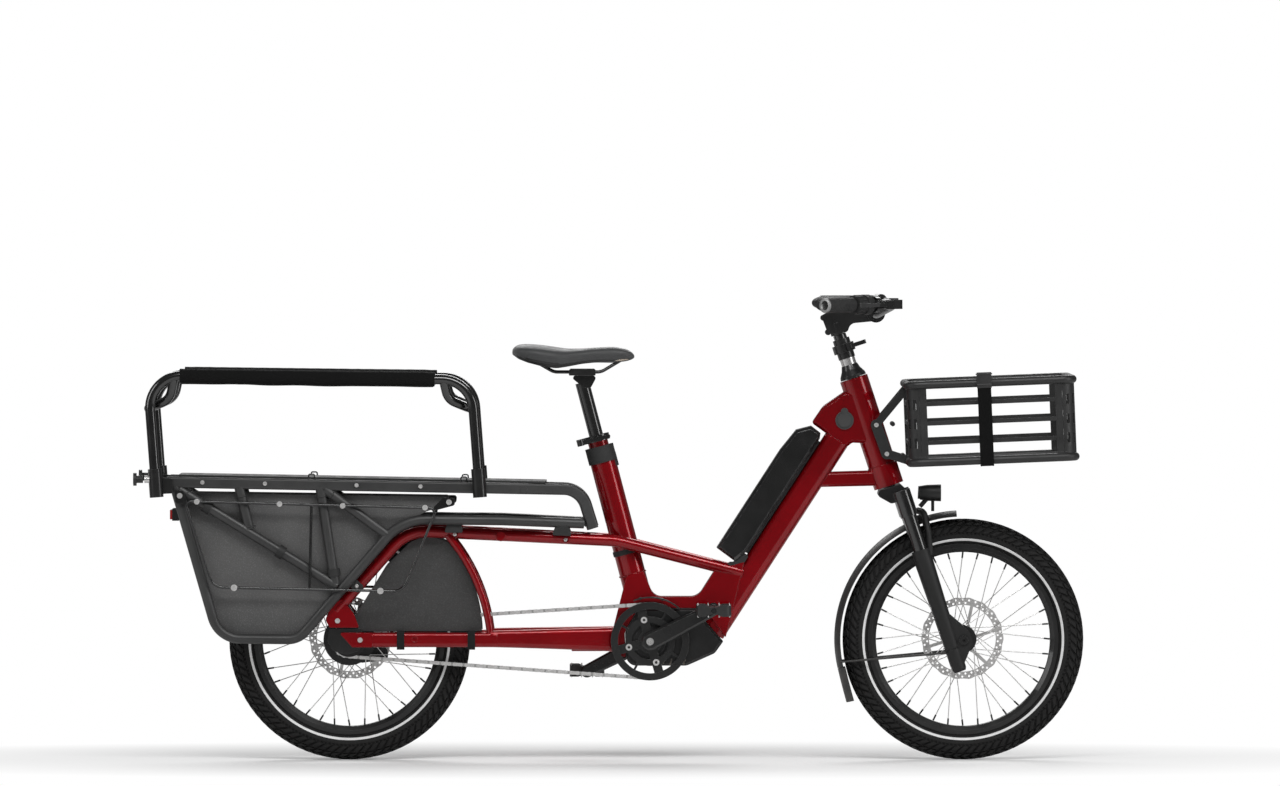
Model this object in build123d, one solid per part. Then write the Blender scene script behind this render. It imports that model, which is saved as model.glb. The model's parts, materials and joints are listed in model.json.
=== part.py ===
from build123d import *
import os
from functools import cache
from math import asin, atan2, cos, hypot, pi, radians, sin, tan

# Long-tail cargo bicycle with a mid motor, built in millimetres.
# +X is forward, +Z is up, and the drive side is -Y (the rider's right).
# The origin is on the ground, under the middle of the overall length, on the centre plane.

# ---------------------------------------------------------------- driving dimensions
WHEEL_RADIUS = 263
TYRE_HALF_WIDTH = 30
RIM_INNER_RADIUS = 190
AXLE_HEIGHT = 263
REAR_AXLE_X = -571
FRONT_AXLE_X = 768
CRANK_X, CRANK_Z = 85, 260
CRANK_LENGTH = 155
CRANK_ANGLE = 27
SEAT_TILT = 14.74
STEER_TILT = 18.15
HEAD_TOP_X, HEAD_TOP_Z = 529.4, 832.3
HEAD_TUBE_LENGTH = 247
DOWN_TUBE_FOOT = (218.5, 275.2)
DOWN_TUBE_TILT = 32.9
DOWN_TUBE_DEPTH, DOWN_TUBE_WIDTH = 56, 60

CHAIN_Y = -52
CHAIN_PITCH = 12.7
CHAINRING_TEETH, SPROCKET_TEETH = 40, 18
STAY_Y = 80
REAR_DROPOUT_Y = 74
REAR_DISC_Y = 57
FRONT_DROPOUT_Y = 50
FRONT_DISC_Y = 36
DISC_RADIUS = 90
LEG_Y = 60
LEG_AHEAD = 21

RACK_TUBE_RADIUS = 11
RACK_Y = 105
RAIL_REAR_X = -966
RAIL_TOP_REAR_Z, DECK_SLOPE = 620, 1.05
SIDE_PANEL_Y = 87.5
SKIRT_Y = 60.5
PANEL_THICKNESS = 2.5
WIRE_Y = 121
HOOP_Y = 140
HOOP_RADIUS = 11
HOOP_LEAN = 4.27
HOOP_REAR_X, HOOP_FRONT_X = -988, -286
SOCKET_Z = 600
BASKET_LENGTH, BASKET_HEIGHT, BASKET_HALF_WIDTH = 358, 168, 180
BASKET_CORNER = 24
BASKET_TILT = 2.3

BASE = (Align.CENTER, Align.CENTER, Align.MIN)
LOW = (Align.MIN, Align.MIN, Align.MIN)


# ---------------------------------------------------------------- local frames
def leaning(x, z, tilt):
    """Frame whose Z runs up a line that leans back by tilt degrees, with X ahead of it."""
    lean = radians(tilt)
    return Plane(origin=(x, 0, z), x_dir=(cos(lean), 0, sin(lean)), z_dir=(-sin(lean), 0, cos(lean)))


SEAT = leaning(CRANK_X, CRANK_Z, SEAT_TILT)
STEER = leaning(HEAD_TOP_X, HEAD_TOP_Z, STEER_TILT)
DOWN = leaning(*DOWN_TUBE_FOOT, -DOWN_TUBE_TILT)
DECK = leaning(RAIL_REAR_X, RAIL_TOP_REAR_Z, -DECK_SLOPE)
BASKET = leaning(650, 651, BASKET_TILT)


# ---------------------------------------------------------------- shape helpers
def rod(start, end, radius):
    """Round bar between two points."""
    start, end = Vector(*start), Vector(*end)
    return Plane(origin=start, z_dir=end - start) * Cylinder(radius, (end - start).length, align=BASE)


def bent_tube(points, radius, bend, close=False):
    """Round bar along straight runs joined by bends."""
    path = FilletPolyline(*points, radius=bend, close=close)
    return sweep(Plane(origin=path @ 0, z_dir=path % 0) * Circle(radius), path=path)


def outline(*corners):
    """Closed outline through corners given as (x, z) or (x, z, corner radius)."""
    radii = [corner[2] if len(corner) > 2 else 0 for corner in corners]
    return make_face(FilletPolyline(*[corner[:2] for corner in corners], radius=radii, close=True))


def slab(face, y_low, y_high, frame=Plane.XY):
    """Plate whose face is drawn in a frame's XZ plane, from y_low to y_high."""
    side = Plane(origin=frame.origin + frame.y_dir * y_high, x_dir=frame.x_dir, z_dir=-frame.y_dir)
    return extrude(side * face, amount=y_high - y_low)


def disc(x, z, radius, y_low, y_high):
    """Round plate or boss with its axis along Y."""
    return Plane(origin=(x, y_low, z), z_dir=(0, 1, 0)) * Cylinder(radius, y_high - y_low, align=BASE)


def turned(face, x, z, start=0, arc=360):
    """Ring turned about a wheel axle from a face drawn as (Y, radius); angles run from +X up."""
    spin = radians(start)
    plane = Plane(origin=(x, 0, z), x_dir=(0, 1, 0), z_dir=(sin(spin), 0, -cos(spin)))
    return revolve(plane * face, Axis((x, 0, z), (0, -1, 0)), revolution_arc=arc)


def other_side(shape):
    """Mirror image across the bike's centre plane."""
    return mirror(shape, about=Plane.XZ)


def both_sides(*shapes):
    """Each shape with its mirror image."""
    return [*shapes, *[other_side(shape) for shape in shapes]]


def fused(shapes):
    """One body from shapes that run into each other."""
    first, *rest = shapes
    return first + rest


def cut_by(shapes, *cutters):
    """Each shape with the room that other pieces take removed."""
    return [shape - list(cutters) for shape in shapes]


def bolt_head(x, z, radius, y_low, height):
    """Button head with a hexagon socket, standing out towards -Y from y_low."""
    head = disc(x, z, radius, y_low - height, y_low)
    socket = slab(Pos(x, z) * RegularPolygon(radius * 0.5, 6), y_low - height, y_low - height * 0.4)
    return head - socket


# ---------------------------------------------------------------- places worked out from the dimensions
def hoop_x(foot_x, z):
    """X of a hoop leg's axis at a height."""
    return foot_x - (z - SOCKET_Z) * tan(radians(HOOP_LEAN))


def deck_z(x):
    """Height of the top of the rack's rails."""
    return RAIL_TOP_REAR_Z - (x - RAIL_REAR_X) * tan(radians(DECK_SLOPE))


PEDAL_X = CRANK_X + CRANK_LENGTH * cos(radians(CRANK_ANGLE))
PEDAL_Z = CRANK_Z + CRANK_LENGTH * sin(radians(CRANK_ANGLE))
CHAINRING_RADIUS = CHAINRING_TEETH * CHAIN_PITCH / (2 * pi)
SPROCKET_RADIUS = SPROCKET_TEETH * CHAIN_PITCH / (2 * pi)
STAY_BEND = (-443, STAY_Y, 502)
BRIDGE_X = -240


# ---------------------------------------------------------------- main frame
def motor_outline(gap=0):
    """Side outline of the motor, grown by a gap for the frame around it."""
    face = outline((34, 206, 22), (165, 206, 26), (226, 233, 18), (244, 258),
                   (205, 303, 8), (204, 331, 12), (60, 331, 22), (30, 280, 30))
    return offset(face, gap) if gap else face


def down_tube():
    section = RectangleRounded(DOWN_TUBE_DEPTH, DOWN_TUBE_WIDTH, 17)
    return DOWN * Pos(0, 0, 4) * extrude(section, 500)


def motor_cradle():
    """Web from the seat tube's foot under the rider's step to the down tube, around the motor."""
    web = outline((34, 402), (70, 412, 0), (93, 356, 26), (189, 356, 30), (226, 414, 0), (290, 432),
                  (250, 268), (204, 331), (62, 331), (46, 300), (34, 222, 6), (6, 234, 6), (6, 292, 4))
    shell = slab(web, -34, 34)
    return shell - slab(motor_outline(0.6), -60, 60)


def chamfer_edges(plate, size):
    """Plate with the rims of its two flat sides eased."""
    rims = plate.faces().filter_by(Axis.Y).edges()
    return chamfer(rims, size)


def seat_tube():
    tube = SEAT * Pos(0, 0, 118) * Cylinder(28.5, 288, align=BASE)
    neck = SEAT * Pos(0, 0, 400) * Cylinder(22, 61, align=BASE)
    return tube + neck


def head_tube():
    tube = STEER * Pos(0, 0, -HEAD_TUBE_LENGTH) * Cylinder(31, HEAD_TUBE_LENGTH, align=BASE)
    flare = STEER * Pos(0, 0, -HEAD_TUBE_LENGTH) * Cylinder(33, 48, align=BASE)
    return tube + flare


def gusset():
    """Deep web behind the head tube that covers the battery's top and carries the charging port."""
    web = outline((562, 800), (508, 803, 14), (462, 771, 34), (437.4, 735, 7), (468, 713), (500, 672),
                  (526, 692, 8), (570, 690))
    return chamfer_edges(slab(web, -27, 27), 6)


def brace_bar():
    web = outline((440, 627), (573, 631), (582, 598), (450, 595))
    return chamfer_edges(slab(web, -22, 22), 5)


def upper_stay():
    """Side tube from the dropout, over the wheel, past the seat tube and into the down tube."""
    path = [(-598, STAY_Y, 328), STAY_BEND, (10, 45, 479), (286, 22, 408)]
    return bent_tube(path, 13, [95, 160])


def chain_stay():
    rear = Pos(-552, STAY_Y, 264) * Rot(0, 90, 0) * extrude(RectangleRounded(32, 20, 8), 305)
    sections = [
        Plane(origin=(-262, STAY_Y - 1, 266), x_dir=(0, 1, 0), z_dir=(1, 0, 0)) * RectangleRounded(22, 36, 9),
        Plane(origin=(-120, 58, 265), z_dir=(1, -0.15, 0)) * RectangleRounded(22, 44, 10),
        Plane(origin=(16, 30, 263), z_dir=(1, -0.15, 0)) * RectangleRounded(26, 54, 11),
    ]
    return rear + loft(sections)


def stay_arch():
    """Thin curved tube that closes the triangle in front of the rear wheel."""
    path = ThreePointArc((-356, STAY_Y, 492), (-294, STAY_Y, 394), (-262, STAY_Y, 270))
    return sweep(Plane(origin=path @ 0, z_dir=path % 0) * Circle(8), path=path)


def dropout_lugs():
    """Plates that end the stays, outside the dropout plate."""
    upper = outline((-612, 291, 3), (-622, 308, 10), (-604, 348, 8), (-584, 352), (-560, 322), (-548, 291, 3))
    lower = outline((-592, 280, 3), (-563, 248, 5), (-520, 248), (-520, 280))
    return slab(upper, 80.5, 92) + slab(lower, 80.5, 92)


def bridges():
    """Cross tubes that tie the two sides together ahead of the rear wheel."""
    return [rod((BRIDGE_X, -STAY_Y, z), (BRIDGE_X, STAY_Y, z), 10) for z in (490, 268)]


def stand_plate():
    """Plate under the stays, behind the cranks, with four holes for a centre stand."""
    plate = slab(outline((-86, 246, 4), (-86, 238), (-18, 238), (-18, 246, 4)), -44, 44)
    holes = [Pos(-52 + x, y, 230) * Cylinder(3.3, 40) for x in (-20, 20) for y in (-20, 20)]
    return plate - holes


@cache
def main_frame():
    side = [upper_stay(), chain_stay(), stay_arch(), dropout_lugs()]
    frame = fused([down_tube(), motor_cradle(), seat_tube(), head_tube(), gusset(), brace_bar(),
                   *both_sides(*side), *bridges(), stand_plate()])
    bores = [
        SEAT * Pos(0, 0, 150) * Cylinder(15.55, 320, align=BASE),
        STEER * Pos(0, 0, -HEAD_TUBE_LENGTH) * Cylinder(17.5, HEAD_TUBE_LENGTH, align=BASE),
        STEER * Pos(0, 0, -HEAD_TUBE_LENGTH) * Cylinder(25, 14, align=BASE),
        STEER * Pos(0, 0, -14) * Cylinder(25, 14, align=BASE),
        slab(motor_outline(0.6), -60, 60),
        disc(REAR_AXLE_X, AXLE_HEIGHT, 6.1, 60, 120),
        disc(509, 741, 12, -40, -20),
        *both_sides(disc(REAR_AXLE_X, AXLE_HEIGHT, 45, 60, 80.5), disc(-427, 266, 2.5, 70, 100)),
    ]
    return frame - bores


def headset_bearings():
    """Upper and lower bearing rings in the head tube."""
    ring = Cylinder(24.98, 10, align=BASE) - Cylinder(14.35, 10, align=BASE)
    return [STEER * Pos(0, 0, z) * ring for z in (-12, -HEAD_TUBE_LENGTH + 2)]


@cache
def dropout_plates():
    """Black plates between the lugs that hold the rear axle."""
    face = outline((-614, 289, 4), (-546, 289, 3), (-536, 270, 3), (-548, 240, 8), (-575, 232, 10),
                   (-606, 240, 10), (-618, 262, 8))
    plate = slab(face, REAR_DROPOUT_Y, 80.3) - disc(REAR_AXLE_X, AXLE_HEIGHT, 6, 70, 90)
    return both_sides(plate)


# ---------------------------------------------------------------- seat
LEVER_X, LEVER_Y = -37, -33


def seat_clamp():
    """Quick-release ring on the seat tube's neck, with ears and a skewer at the back."""
    ring = Cylinder(28, 14, align=BASE) + Pos(-32, 0, 0) * Box(26, 20, 14, align=BASE)
    ring = ring - Cylinder(22.02, 14, align=BASE) - Pos(-34, 0, -1) * Box(30, 3, 16, align=BASE)
    skewer = rod((LEVER_X, LEVER_Y + 7.1, 7), (LEVER_X, 12, 7), 2.5)
    nut = rod((LEVER_X, 9, 7), (LEVER_X, 16, 7), 5.5)
    return SEAT * Pos(0, 0, 449) * fused([ring, skewer, nut])


def seat_clamp_lever():
    """Lever whose round cam sits on the skewer's drive side end; it swings outward."""
    arm = slab(outline((LEVER_X, 2), (30, 2, 4), (30, 10, 4), (LEVER_X, 12)), LEVER_Y - 3, LEVER_Y + 2.5)
    cam = Pos(LEVER_X, LEVER_Y, 0) * Cylinder(7, 14, align=BASE)
    return SEAT * Pos(0, 0, 449) * (arm + cam)


def seat_tube_boot():
    """Rubber collar over the step where the seat tube narrows, and the cable ring lower down."""
    collar = Pos(0, 0, 402) * Cylinder(31.5, 36, align=BASE) + Pos(16, 0, 388) * Cylinder(16, 30, align=BASE)
    ring = Pos(0, 0, 195) * Cylinder(30.5, 11, align=BASE)
    return [SEAT * part - seat_tube() for part in (collar, ring)]


def seatpost():
    post = SEAT * Pos(0, 0, 262) * Cylinder(15.45, 320, align=BASE)
    bore = SEAT * Pos(0, 0, 261) * Cylinder(12.5, 300, align=BASE)
    head = slab(outline((-92, 838, 5), (-60, 812, 8), (-44, 812, 5), (-30, 838, 6)), -16, 16)
    return post + head - bore


def saddle_rails():
    """Two steel rails with the clamp that holds them on the seatpost."""
    path = [(-170, -26, 872), (-125, -22, 846), (-22, -22, 846), (22, -10, 872)]
    rails = both_sides(bent_tube(path, 3.5, 30))
    jaw = slab(outline((-92, 838.5, 2), (-92, 853, 5), (-34, 853, 5), (-34, 838.5, 2)), -29, 29)
    return [*rails, jaw - rails]


def saddle():
    """Padded shell from a wide rear to a narrow nose."""
    stations = [(-216, 52, 871, 895), (-190, 76, 866, 905), (-140, 80, 858, 905), (-80, 56, 858, 892),
                (-20, 32, 862, 886), (25, 22, 866, 889), (50, 12, 872, 886)]
    sections = []
    for x, half, low, high in stations:
        across = Plane(origin=(x, 0, (low + high) / 2), x_dir=(0, 1, 0), z_dir=(1, 0, 0))
        sections.append(across * Ellipse(half, (high - low) / 2))
    return loft(sections) - saddle_rails()


# ---------------------------------------------------------------- motor, cranks and chain
def motor_unit():
    """Motor housing, its two side covers with cooling slots, and the guard over the chainring."""
    housing = slab(motor_outline(), -36, 38)
    bore = disc(CRANK_X, CRANK_Z, 13, -50, 50)
    cover = slab(offset(motor_outline(), -2), 38.2, 45)
    slot = Rot(0, 0, 70) * RectangleRounded(15, 3, 1.4)
    slots = [slab(Pos(x, 214) * slot, 41, 50) for x in range(70, 175, 15)]
    cover = chamfer_edges(cover, 3) - slots
    boss = disc(CRANK_X, CRANK_Z, 34, -44.5, -43)
    near = other_side(Pos(0, -2, 0) * cover)
    return [housing - bore, cover - bore, near - bore, boss - bore - near, chain_guard()]


def chain_guard():
    """Arc-shaped guard over the top of the chainring, on two posts from the motor's cover."""
    arc = turned(outline((-62, 94), (-44, 94), (-44, 97), (-62, 97)), CRANK_X, CRANK_Z, start=48, arc=64)
    posts = [rod((x, -47, z), (x, -34.1, z), 3) for x, z in ((64, 353), (112, 351))]
    return fused([arc, *posts]) - slab(motor_outline(0.3), -43.2, 60)


def toothed_outline(teeth, pitch_radius):
    """Sprocket outline with four points to each tooth."""
    corners = []
    for tooth in range(teeth):
        for offset_in_teeth, radius in ((-0.36, pitch_radius - 4), (-0.12, pitch_radius + 3),
                                        (0.12, pitch_radius + 3), (0.36, pitch_radius - 4)):
            angle = (tooth + offset_in_teeth) * 2 * pi / teeth
            corners.append((radius * cos(angle), radius * sin(angle)))
    return Polygon(*corners, align=None)


def chainring():
    """Toothed ring on a four-arm spider, with the ring that guards the chain outside it, and its bolts."""
    ring = toothed_outline(CHAINRING_TEETH, CHAINRING_RADIUS) - Circle(70)
    arms = [Rot(0, 0, 16 + 90 * k) * Pos(40, 0) * RectangleRounded(70, 20, 6) for k in range(4)]
    webs = [Rot(0, 0, 61 + 90 * k) * Pos(58, 0) * Rectangle(34, 5) for k in range(4)]
    hoop = Circle(54) - Circle(40)
    plate = fused([ring, *arms, *webs, hoop, Circle(26)]) - Circle(11.05)
    centre = Pos(CRANK_X, CRANK_Z)
    body = slab(centre * plate, CHAIN_Y - 0.95, CHAIN_Y + 0.95)
    guard = slab(centre * (Circle(85.5) - Circle(70)), CHAIN_Y - 5.8, CHAIN_Y - 4.2)
    posts = [slab(centre * Rot(0, 0, 45 * k) * Pos(73, 0) * Circle(2.5), CHAIN_Y - 4.5, CHAIN_Y)
             for k in range(8)]
    body = fused([body, guard, *posts])
    places = [centre * Rot(0, 0, 16 + 90 * k) * Pos(48, 0) for k in range(4)]
    heads = [slab(place * Circle(7), CHAIN_Y - 4, CHAIN_Y - 0.95) for place in places]
    sockets = [slab(place * Circle(3), CHAIN_Y - 4, CHAIN_Y - 2) for place in places]
    return [body, *cut_by(heads, *sockets)]


def crankset():
    """Two crank arms half a turn apart, their spindle and the pedal axles."""
    lean = radians(CRANK_ANGLE)
    parts = [disc(CRANK_X, CRANK_Z, 11, -64, 64)]
    for side in (-1, 1):
        pedal_x = CRANK_X - side * CRANK_LENGTH * cos(lean)
        pedal_z = CRANK_Z - side * CRANK_LENGTH * sin(lean)
        ends = [Pos(CRANK_X, CRANK_Z) * Circle(19), Pos(pedal_x, pedal_z) * Circle(14)]
        face = make_hull([edge for end in ends for edge in end.edges()])
        low, high = sorted((side * 64, side * 78))
        arm = chamfer_edges(slab(face, low, high), 4)
        dimple = disc(CRANK_X, CRANK_Z, 8, *sorted((side * 74, side * 90)))
        parts.append(arm - dimple)
        parts.append(disc(pedal_x, pedal_z, 6, *sorted((side * 78, side * 172))))
    return parts


def pedal():
    """Drive-side platform pedal around its axle."""
    plan = Plane(origin=(PEDAL_X, -130, PEDAL_Z)) * Pos(0, 0, -13)
    block = plan * extrude(RectangleRounded(76, 88, 14), 26)
    window = extrude(RectangleRounded(20, 30, 5), 26)
    windows = [plan * Pos(x, y, 0) * window for x in (-24, 24) for y in (-20, 20)]
    waist = []
    for side in (-1, 1):
        lift = side * 8
        dip = outline((26, 2 * lift), (7, lift, 3), (-7, lift, 3), (-26, 2 * lift))
        waist.append(slab(Pos(PEDAL_X, PEDAL_Z) * dip, -180, -80))
    return block - windows - waist - disc(PEDAL_X, PEDAL_Z, 6.08, -176, -80)


def chain_loop(grow):
    """Outline around both sprockets' pitch circles, grown outward."""
    circles = [Pos(CRANK_X, CRANK_Z) * Circle(CHAINRING_RADIUS + grow),
               Pos(REAR_AXLE_X, AXLE_HEIGHT) * Circle(SPROCKET_RADIUS + grow)]
    return make_hull([edge for circle in circles for edge in circle.edges()])


def chain():
    """Side plates right round both sprockets, with rollers on the straight runs, clear of the teeth."""
    band = chain_loop(3.8) - chain_loop(-3.8)
    parts = [slab(band, CHAIN_Y + side * 2.9 - 0.7, CHAIN_Y + side * 2.9 + 0.7) for side in (-1, 1)]
    across, down = REAR_AXLE_X - CRANK_X, AXLE_HEIGHT - CRANK_Z
    reach = hypot(across, down)
    flare = asin((CHAINRING_RADIUS - SPROCKET_RADIUS) / reach)
    run = reach * cos(flare)
    for side in (-1, 1):
        normal = atan2(down, across) + side * (pi / 2 - flare)
        start_x = CRANK_X + CHAINRING_RADIUS * cos(normal)
        start_z = CRANK_Z + CHAINRING_RADIUS * sin(normal)
        heading = normal - side * pi / 2
        for link in range(3, int(run / CHAIN_PITCH) - 1):
            step = link * CHAIN_PITCH
            x, z = start_x + step * cos(heading), start_z + step * sin(heading)
            parts.append(disc(x, z, 2.2, CHAIN_Y - 2.2, CHAIN_Y + 2.2))
    return parts


def rear_sprocket():
    """Toothed sprocket on the hub's driver, with the round guard outside it."""
    teeth = Pos(REAR_AXLE_X, AXLE_HEIGHT) * toothed_outline(SPROCKET_TEETH, SPROCKET_RADIUS)
    wheel = slab(teeth, CHAIN_Y - 0.95, CHAIN_Y + 0.95)
    guard = disc(REAR_AXLE_X, AXLE_HEIGHT, 37, -59.6, -57.6)
    driver = disc(REAR_AXLE_X, AXLE_HEIGHT, 24, -58, -46)
    return fused([wheel, guard, driver]) - disc(REAR_AXLE_X, AXLE_HEIGHT, 15.06, -70, -40)


# ---------------------------------------------------------------- wheels
def tyre(axle_x):
    """Hollow tyre casing for a 406 mm rim."""
    half = TYRE_HALF_WIDTH
    widest, bead, inside = WHEEL_RADIUS - half, 210, 3.4
    with BuildSketch() as casing:
        with BuildLine():
            ThreePointArc((-half, widest), (0, WHEEL_RADIUS), (half, widest))
            ThreePointArc((half, widest), (half - 4.5, 219), (14, bead))
            Line((14, bead), (14, 203))
            Line((14, 203), (10.4, 203))
            Line((10.4, 203), (10.4, bead))
            ThreePointArc((10.4, bead), (half - 8, 221), (half - inside, widest))
            ThreePointArc((half - inside, widest), (0, WHEEL_RADIUS - inside), (inside - half, widest))
            ThreePointArc((inside - half, widest), (8 - half, 221), (-10.4, bead))
            Line((-10.4, bead), (-10.4, 203))
            Line((-10.4, 203), (-14, 203))
            Line((-14, 203), (-14, bead))
            ThreePointArc((-14, bead), (4.5 - half, 219), (-half, widest))
        make_face()
    return turned(casing.sketch, axle_x, AXLE_HEIGHT)


def rim(axle_x):
    """Double-wall rim."""
    inner = RIM_INNER_RADIUS
    wall = outline((16.6, 208.6, 0.6), (16.6, 199), (10, inner, 2), (-10, inner, 2), (-16.6, 199),
                   (-16.6, 208.6, 0.6), (-14.3, 208.6, 0.6), (-14.3, 202), (-6, 200.5, 4), (6, 200.5, 4),
                   (14.3, 202), (14.3, 208.6, 0.6))
    chamber = outline((13.4, 199), (8.6, 192.4), (-8.6, 192.4), (-13.4, 199))
    return turned(wall - chamber, axle_x, AXLE_HEIGHT)


def spokes(axle_x, flange_radius, flange_ys):
    """Thirty-six crossed spokes with their nipples."""
    parts = []
    for side, flange_y in zip((-1, 1), flange_ys):
        for index in range(18):
            hub_angle = radians(20 * index + 5 + 5 * side)
            rim_angle = hub_angle + radians(40 if index % 2 else -40)
            hub_end = Vector(cos(hub_angle), 0, sin(hub_angle)) * (flange_radius + 1.3)
            rim_end = Vector(cos(rim_angle), 0, sin(rim_angle)) * (RIM_INNER_RADIUS - 0.7)
            start = hub_end + Vector(axle_x, flange_y, AXLE_HEIGHT)
            end = rim_end + Vector(axle_x, 3 * side, AXLE_HEIGHT)
            nipple_start = end + (start - end).normalized() * 13
            parts.append(rod(start, nipple_start, 1))
            parts.append(rod(nipple_start, end, 1.9))
    return parts


def stepped_hub(axle_x, bore, *steps):
    """Hub shell from discs given as (radius, y_low, y_high), bored through."""
    shell = fused([disc(axle_x, AXLE_HEIGHT, *step) for step in steps])
    return shell - disc(axle_x, AXLE_HEIGHT, bore, -90, 90)


def front_hub():
    return stepped_hub(FRONT_AXLE_X, 7.56, (18, -31, 26), (29, -31, -28), (29, 23, 26),
                       (24, 26, FRONT_DISC_Y - 0.95), (12, -49.8, 49.8))


def rear_hub():
    return stepped_hub(REAR_AXLE_X, 6.06, (38, -33, 34), (46, -33, -30), (46, 31, 34), (56, -43.2, -41.6),
                       (30, -43.2, -33), (15, -73.8, -40), (24, 34, REAR_DISC_Y - 0.95), (12, 34, 73.8))


def brake_disc(axle_x, y, bore):
    """Vented steel disc with a waved rim, two rows of holes and six swept arms."""
    waves, points = 18, 144
    rim_points = []
    for index in range(points):
        angle = 2 * pi * index / points
        radius = DISC_RADIUS - 1 + cos(waves * angle)
        rim_points.append((radius * cos(angle), radius * sin(angle)))
    ring = Polygon(*rim_points, align=None) - Circle(73)
    holes = [Rot(0, 0, 10 * k + shift) * Pos(radius, 0) * Circle(2.3)
             for k in range(36) for shift, radius in ((0, 84), (5, 77.5))]
    arms = [Rot(0, 0, 60 * k) * Pos(48, 10) * Rot(0, 0, 18) * Rectangle(64, 7) for k in range(6)]
    carrier = Circle(30)
    face = fused([ring - holes, *arms, carrier]) - Circle(bore)
    return slab(Pos(axle_x, AXLE_HEIGHT) * face, y - 0.9, y + 0.9)


def rear_axle():
    """Through axle with its head and a trailer stub on the left."""
    shaft = disc(REAR_AXLE_X, AXLE_HEIGHT, 6, -80.3, 116)
    collar = disc(REAR_AXLE_X, AXLE_HEIGHT, 10, 92.2, 98)
    return shaft + collar


# ---------------------------------------------------------------- fork and front end
CROWN_Z = -HEAD_TUBE_LENGTH - 2
LOWER_TOP = -400
LOWER_FOOT = -678
AXLE_LOCAL = STEER.to_local_coords(Vector(FRONT_AXLE_X, 0, AXLE_HEIGHT))


def fork_crown():
    """Steerer, crown and the two stanchions."""
    profile = outline((-31, -259, 8), (-24, CROWN_Z, 4), (24, CROWN_Z, 4), (37, -272, 8), (30, -286, 8),
                      (-8, -284, 8))
    middle = slab(profile, -64, 64, STEER)
    relief = STEER * Pos(45, 0, -300) * Box(44, 74, 70)
    blocks = [STEER * Pos(LEG_AHEAD, side * LEG_Y, -322) * Cylinder(19.5, 58, align=BASE) for side in (-1, 1)]
    legs = [STEER * Pos(LEG_AHEAD, side * LEG_Y, -560) * Cylinder(16, 260, align=BASE) for side in (-1, 1)]
    steerer = STEER * Pos(0, 0, -262) * Cylinder(14.3, 362, align=BASE)
    bore = STEER * Pos(0, 0, -150) * Cylinder(12.08, 260, align=BASE)
    return fused([middle - relief, *blocks, *legs, steerer]) - bore


@cache
def fork_lowers():
    """Sliding legs with the axle lugs and the arch that joins them over the tyre."""
    legs, bores = [], []
    rounds = ((LOWER_FOOT, 13), (LOWER_FOOT + 6, 15.5), (-560, 17), (LOWER_TOP, 20.5))
    for side in (-1, 1):
        sections = [Plane(origin=(LEG_AHEAD, side * LEG_Y, z)) * Circle(radius) for z, radius in rounds]
        legs.append(STEER * loft(sections, ruled=True))
        bore_foot = Pos(LEG_AHEAD, side * LEG_Y, LOWER_FOOT + 50)
        bores.append(STEER * bore_foot * Cylinder(16.06, 300, align=BASE))
    x, z = AXLE_LOCAL.X, AXLE_LOCAL.Z
    lug_face = outline((LEG_AHEAD - 6, z + 70, 6), (LEG_AHEAD + 14, z + 66, 10), (x + 18, z + 14, 12),
                       (x + 17, z - 12, 12), (LEG_AHEAD + 14, LOWER_FOOT + 14, 8),
                       (LEG_AHEAD, LOWER_FOOT + 12, 6))
    lug = slab(lug_face, FRONT_DROPOUT_Y + 1, 69, STEER)
    half_arch = [(44, 20, -319), (54, 42, -326), (50, 57, -366), (38, LEG_Y, LOWER_TOP - 16)]
    other_half = [(x, -y, z) for x, y, z in reversed(half_arch)]
    arch = bent_tube(other_half + half_arch, 7, [14, 14, 12, 12, 14, 14])
    body = fused([*legs, *both_sides(lug), STEER * arch])
    hub_room = STEER * Pos(AXLE_LOCAL.X, 0, AXLE_LOCAL.Z) * Box(80, 2 * FRONT_DROPOUT_Y, 120)
    return body - bores - disc(FRONT_AXLE_X, AXLE_HEIGHT, 7.5, -90, 90) - hub_room


def front_axle():
    """Through axle with its socket head on the drive side."""
    shaft = disc(FRONT_AXLE_X, AXLE_HEIGHT, 7.5, -69, 69)
    head = disc(FRONT_AXLE_X, AXLE_HEIGHT, 10, -74, -69)
    socket = slab(Pos(FRONT_AXLE_X, AXLE_HEIGHT) * RegularPolygon(4, 6), -74, -66)
    return shaft + head - socket


def front_caliper():
    """Disc brake caliper inside the left leg, straddling the disc."""
    body = STEER * Pos(LEG_AHEAD - 2, FRONT_DISC_Y - 3, AXLE_LOCAL.Z + 76) * Box(28, 20, 56)
    slot = disc(FRONT_AXLE_X, AXLE_HEIGHT, DISC_RADIUS + 2, FRONT_DISC_Y - 1.6, FRONT_DISC_Y + 1.6)
    return body - slot - fork_lowers()


def rear_caliper():
    """Disc brake caliper under the left stay, with its bracket to the dropout plate."""
    body_face = outline((-552, 208, 6), (-546, 242, 5), (-490, 243, 8), (-488, 216, 8))
    arm_face = outline((-590, 231, 3), (-590, 214, 8), (-545, 212, 3), (-545, 236, 3))
    body = slab(body_face, REAR_DISC_Y - 12, REAR_DISC_Y + 16)
    arm = slab(arm_face, REAR_DISC_Y + 5, REAR_DISC_Y + 16)
    slot = disc(REAR_AXLE_X, AXLE_HEIGHT, DISC_RADIUS + 2, REAR_DISC_Y - 1.6, REAR_DISC_Y + 1.6)
    return body + arm - slot - dropout_plates()


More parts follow.
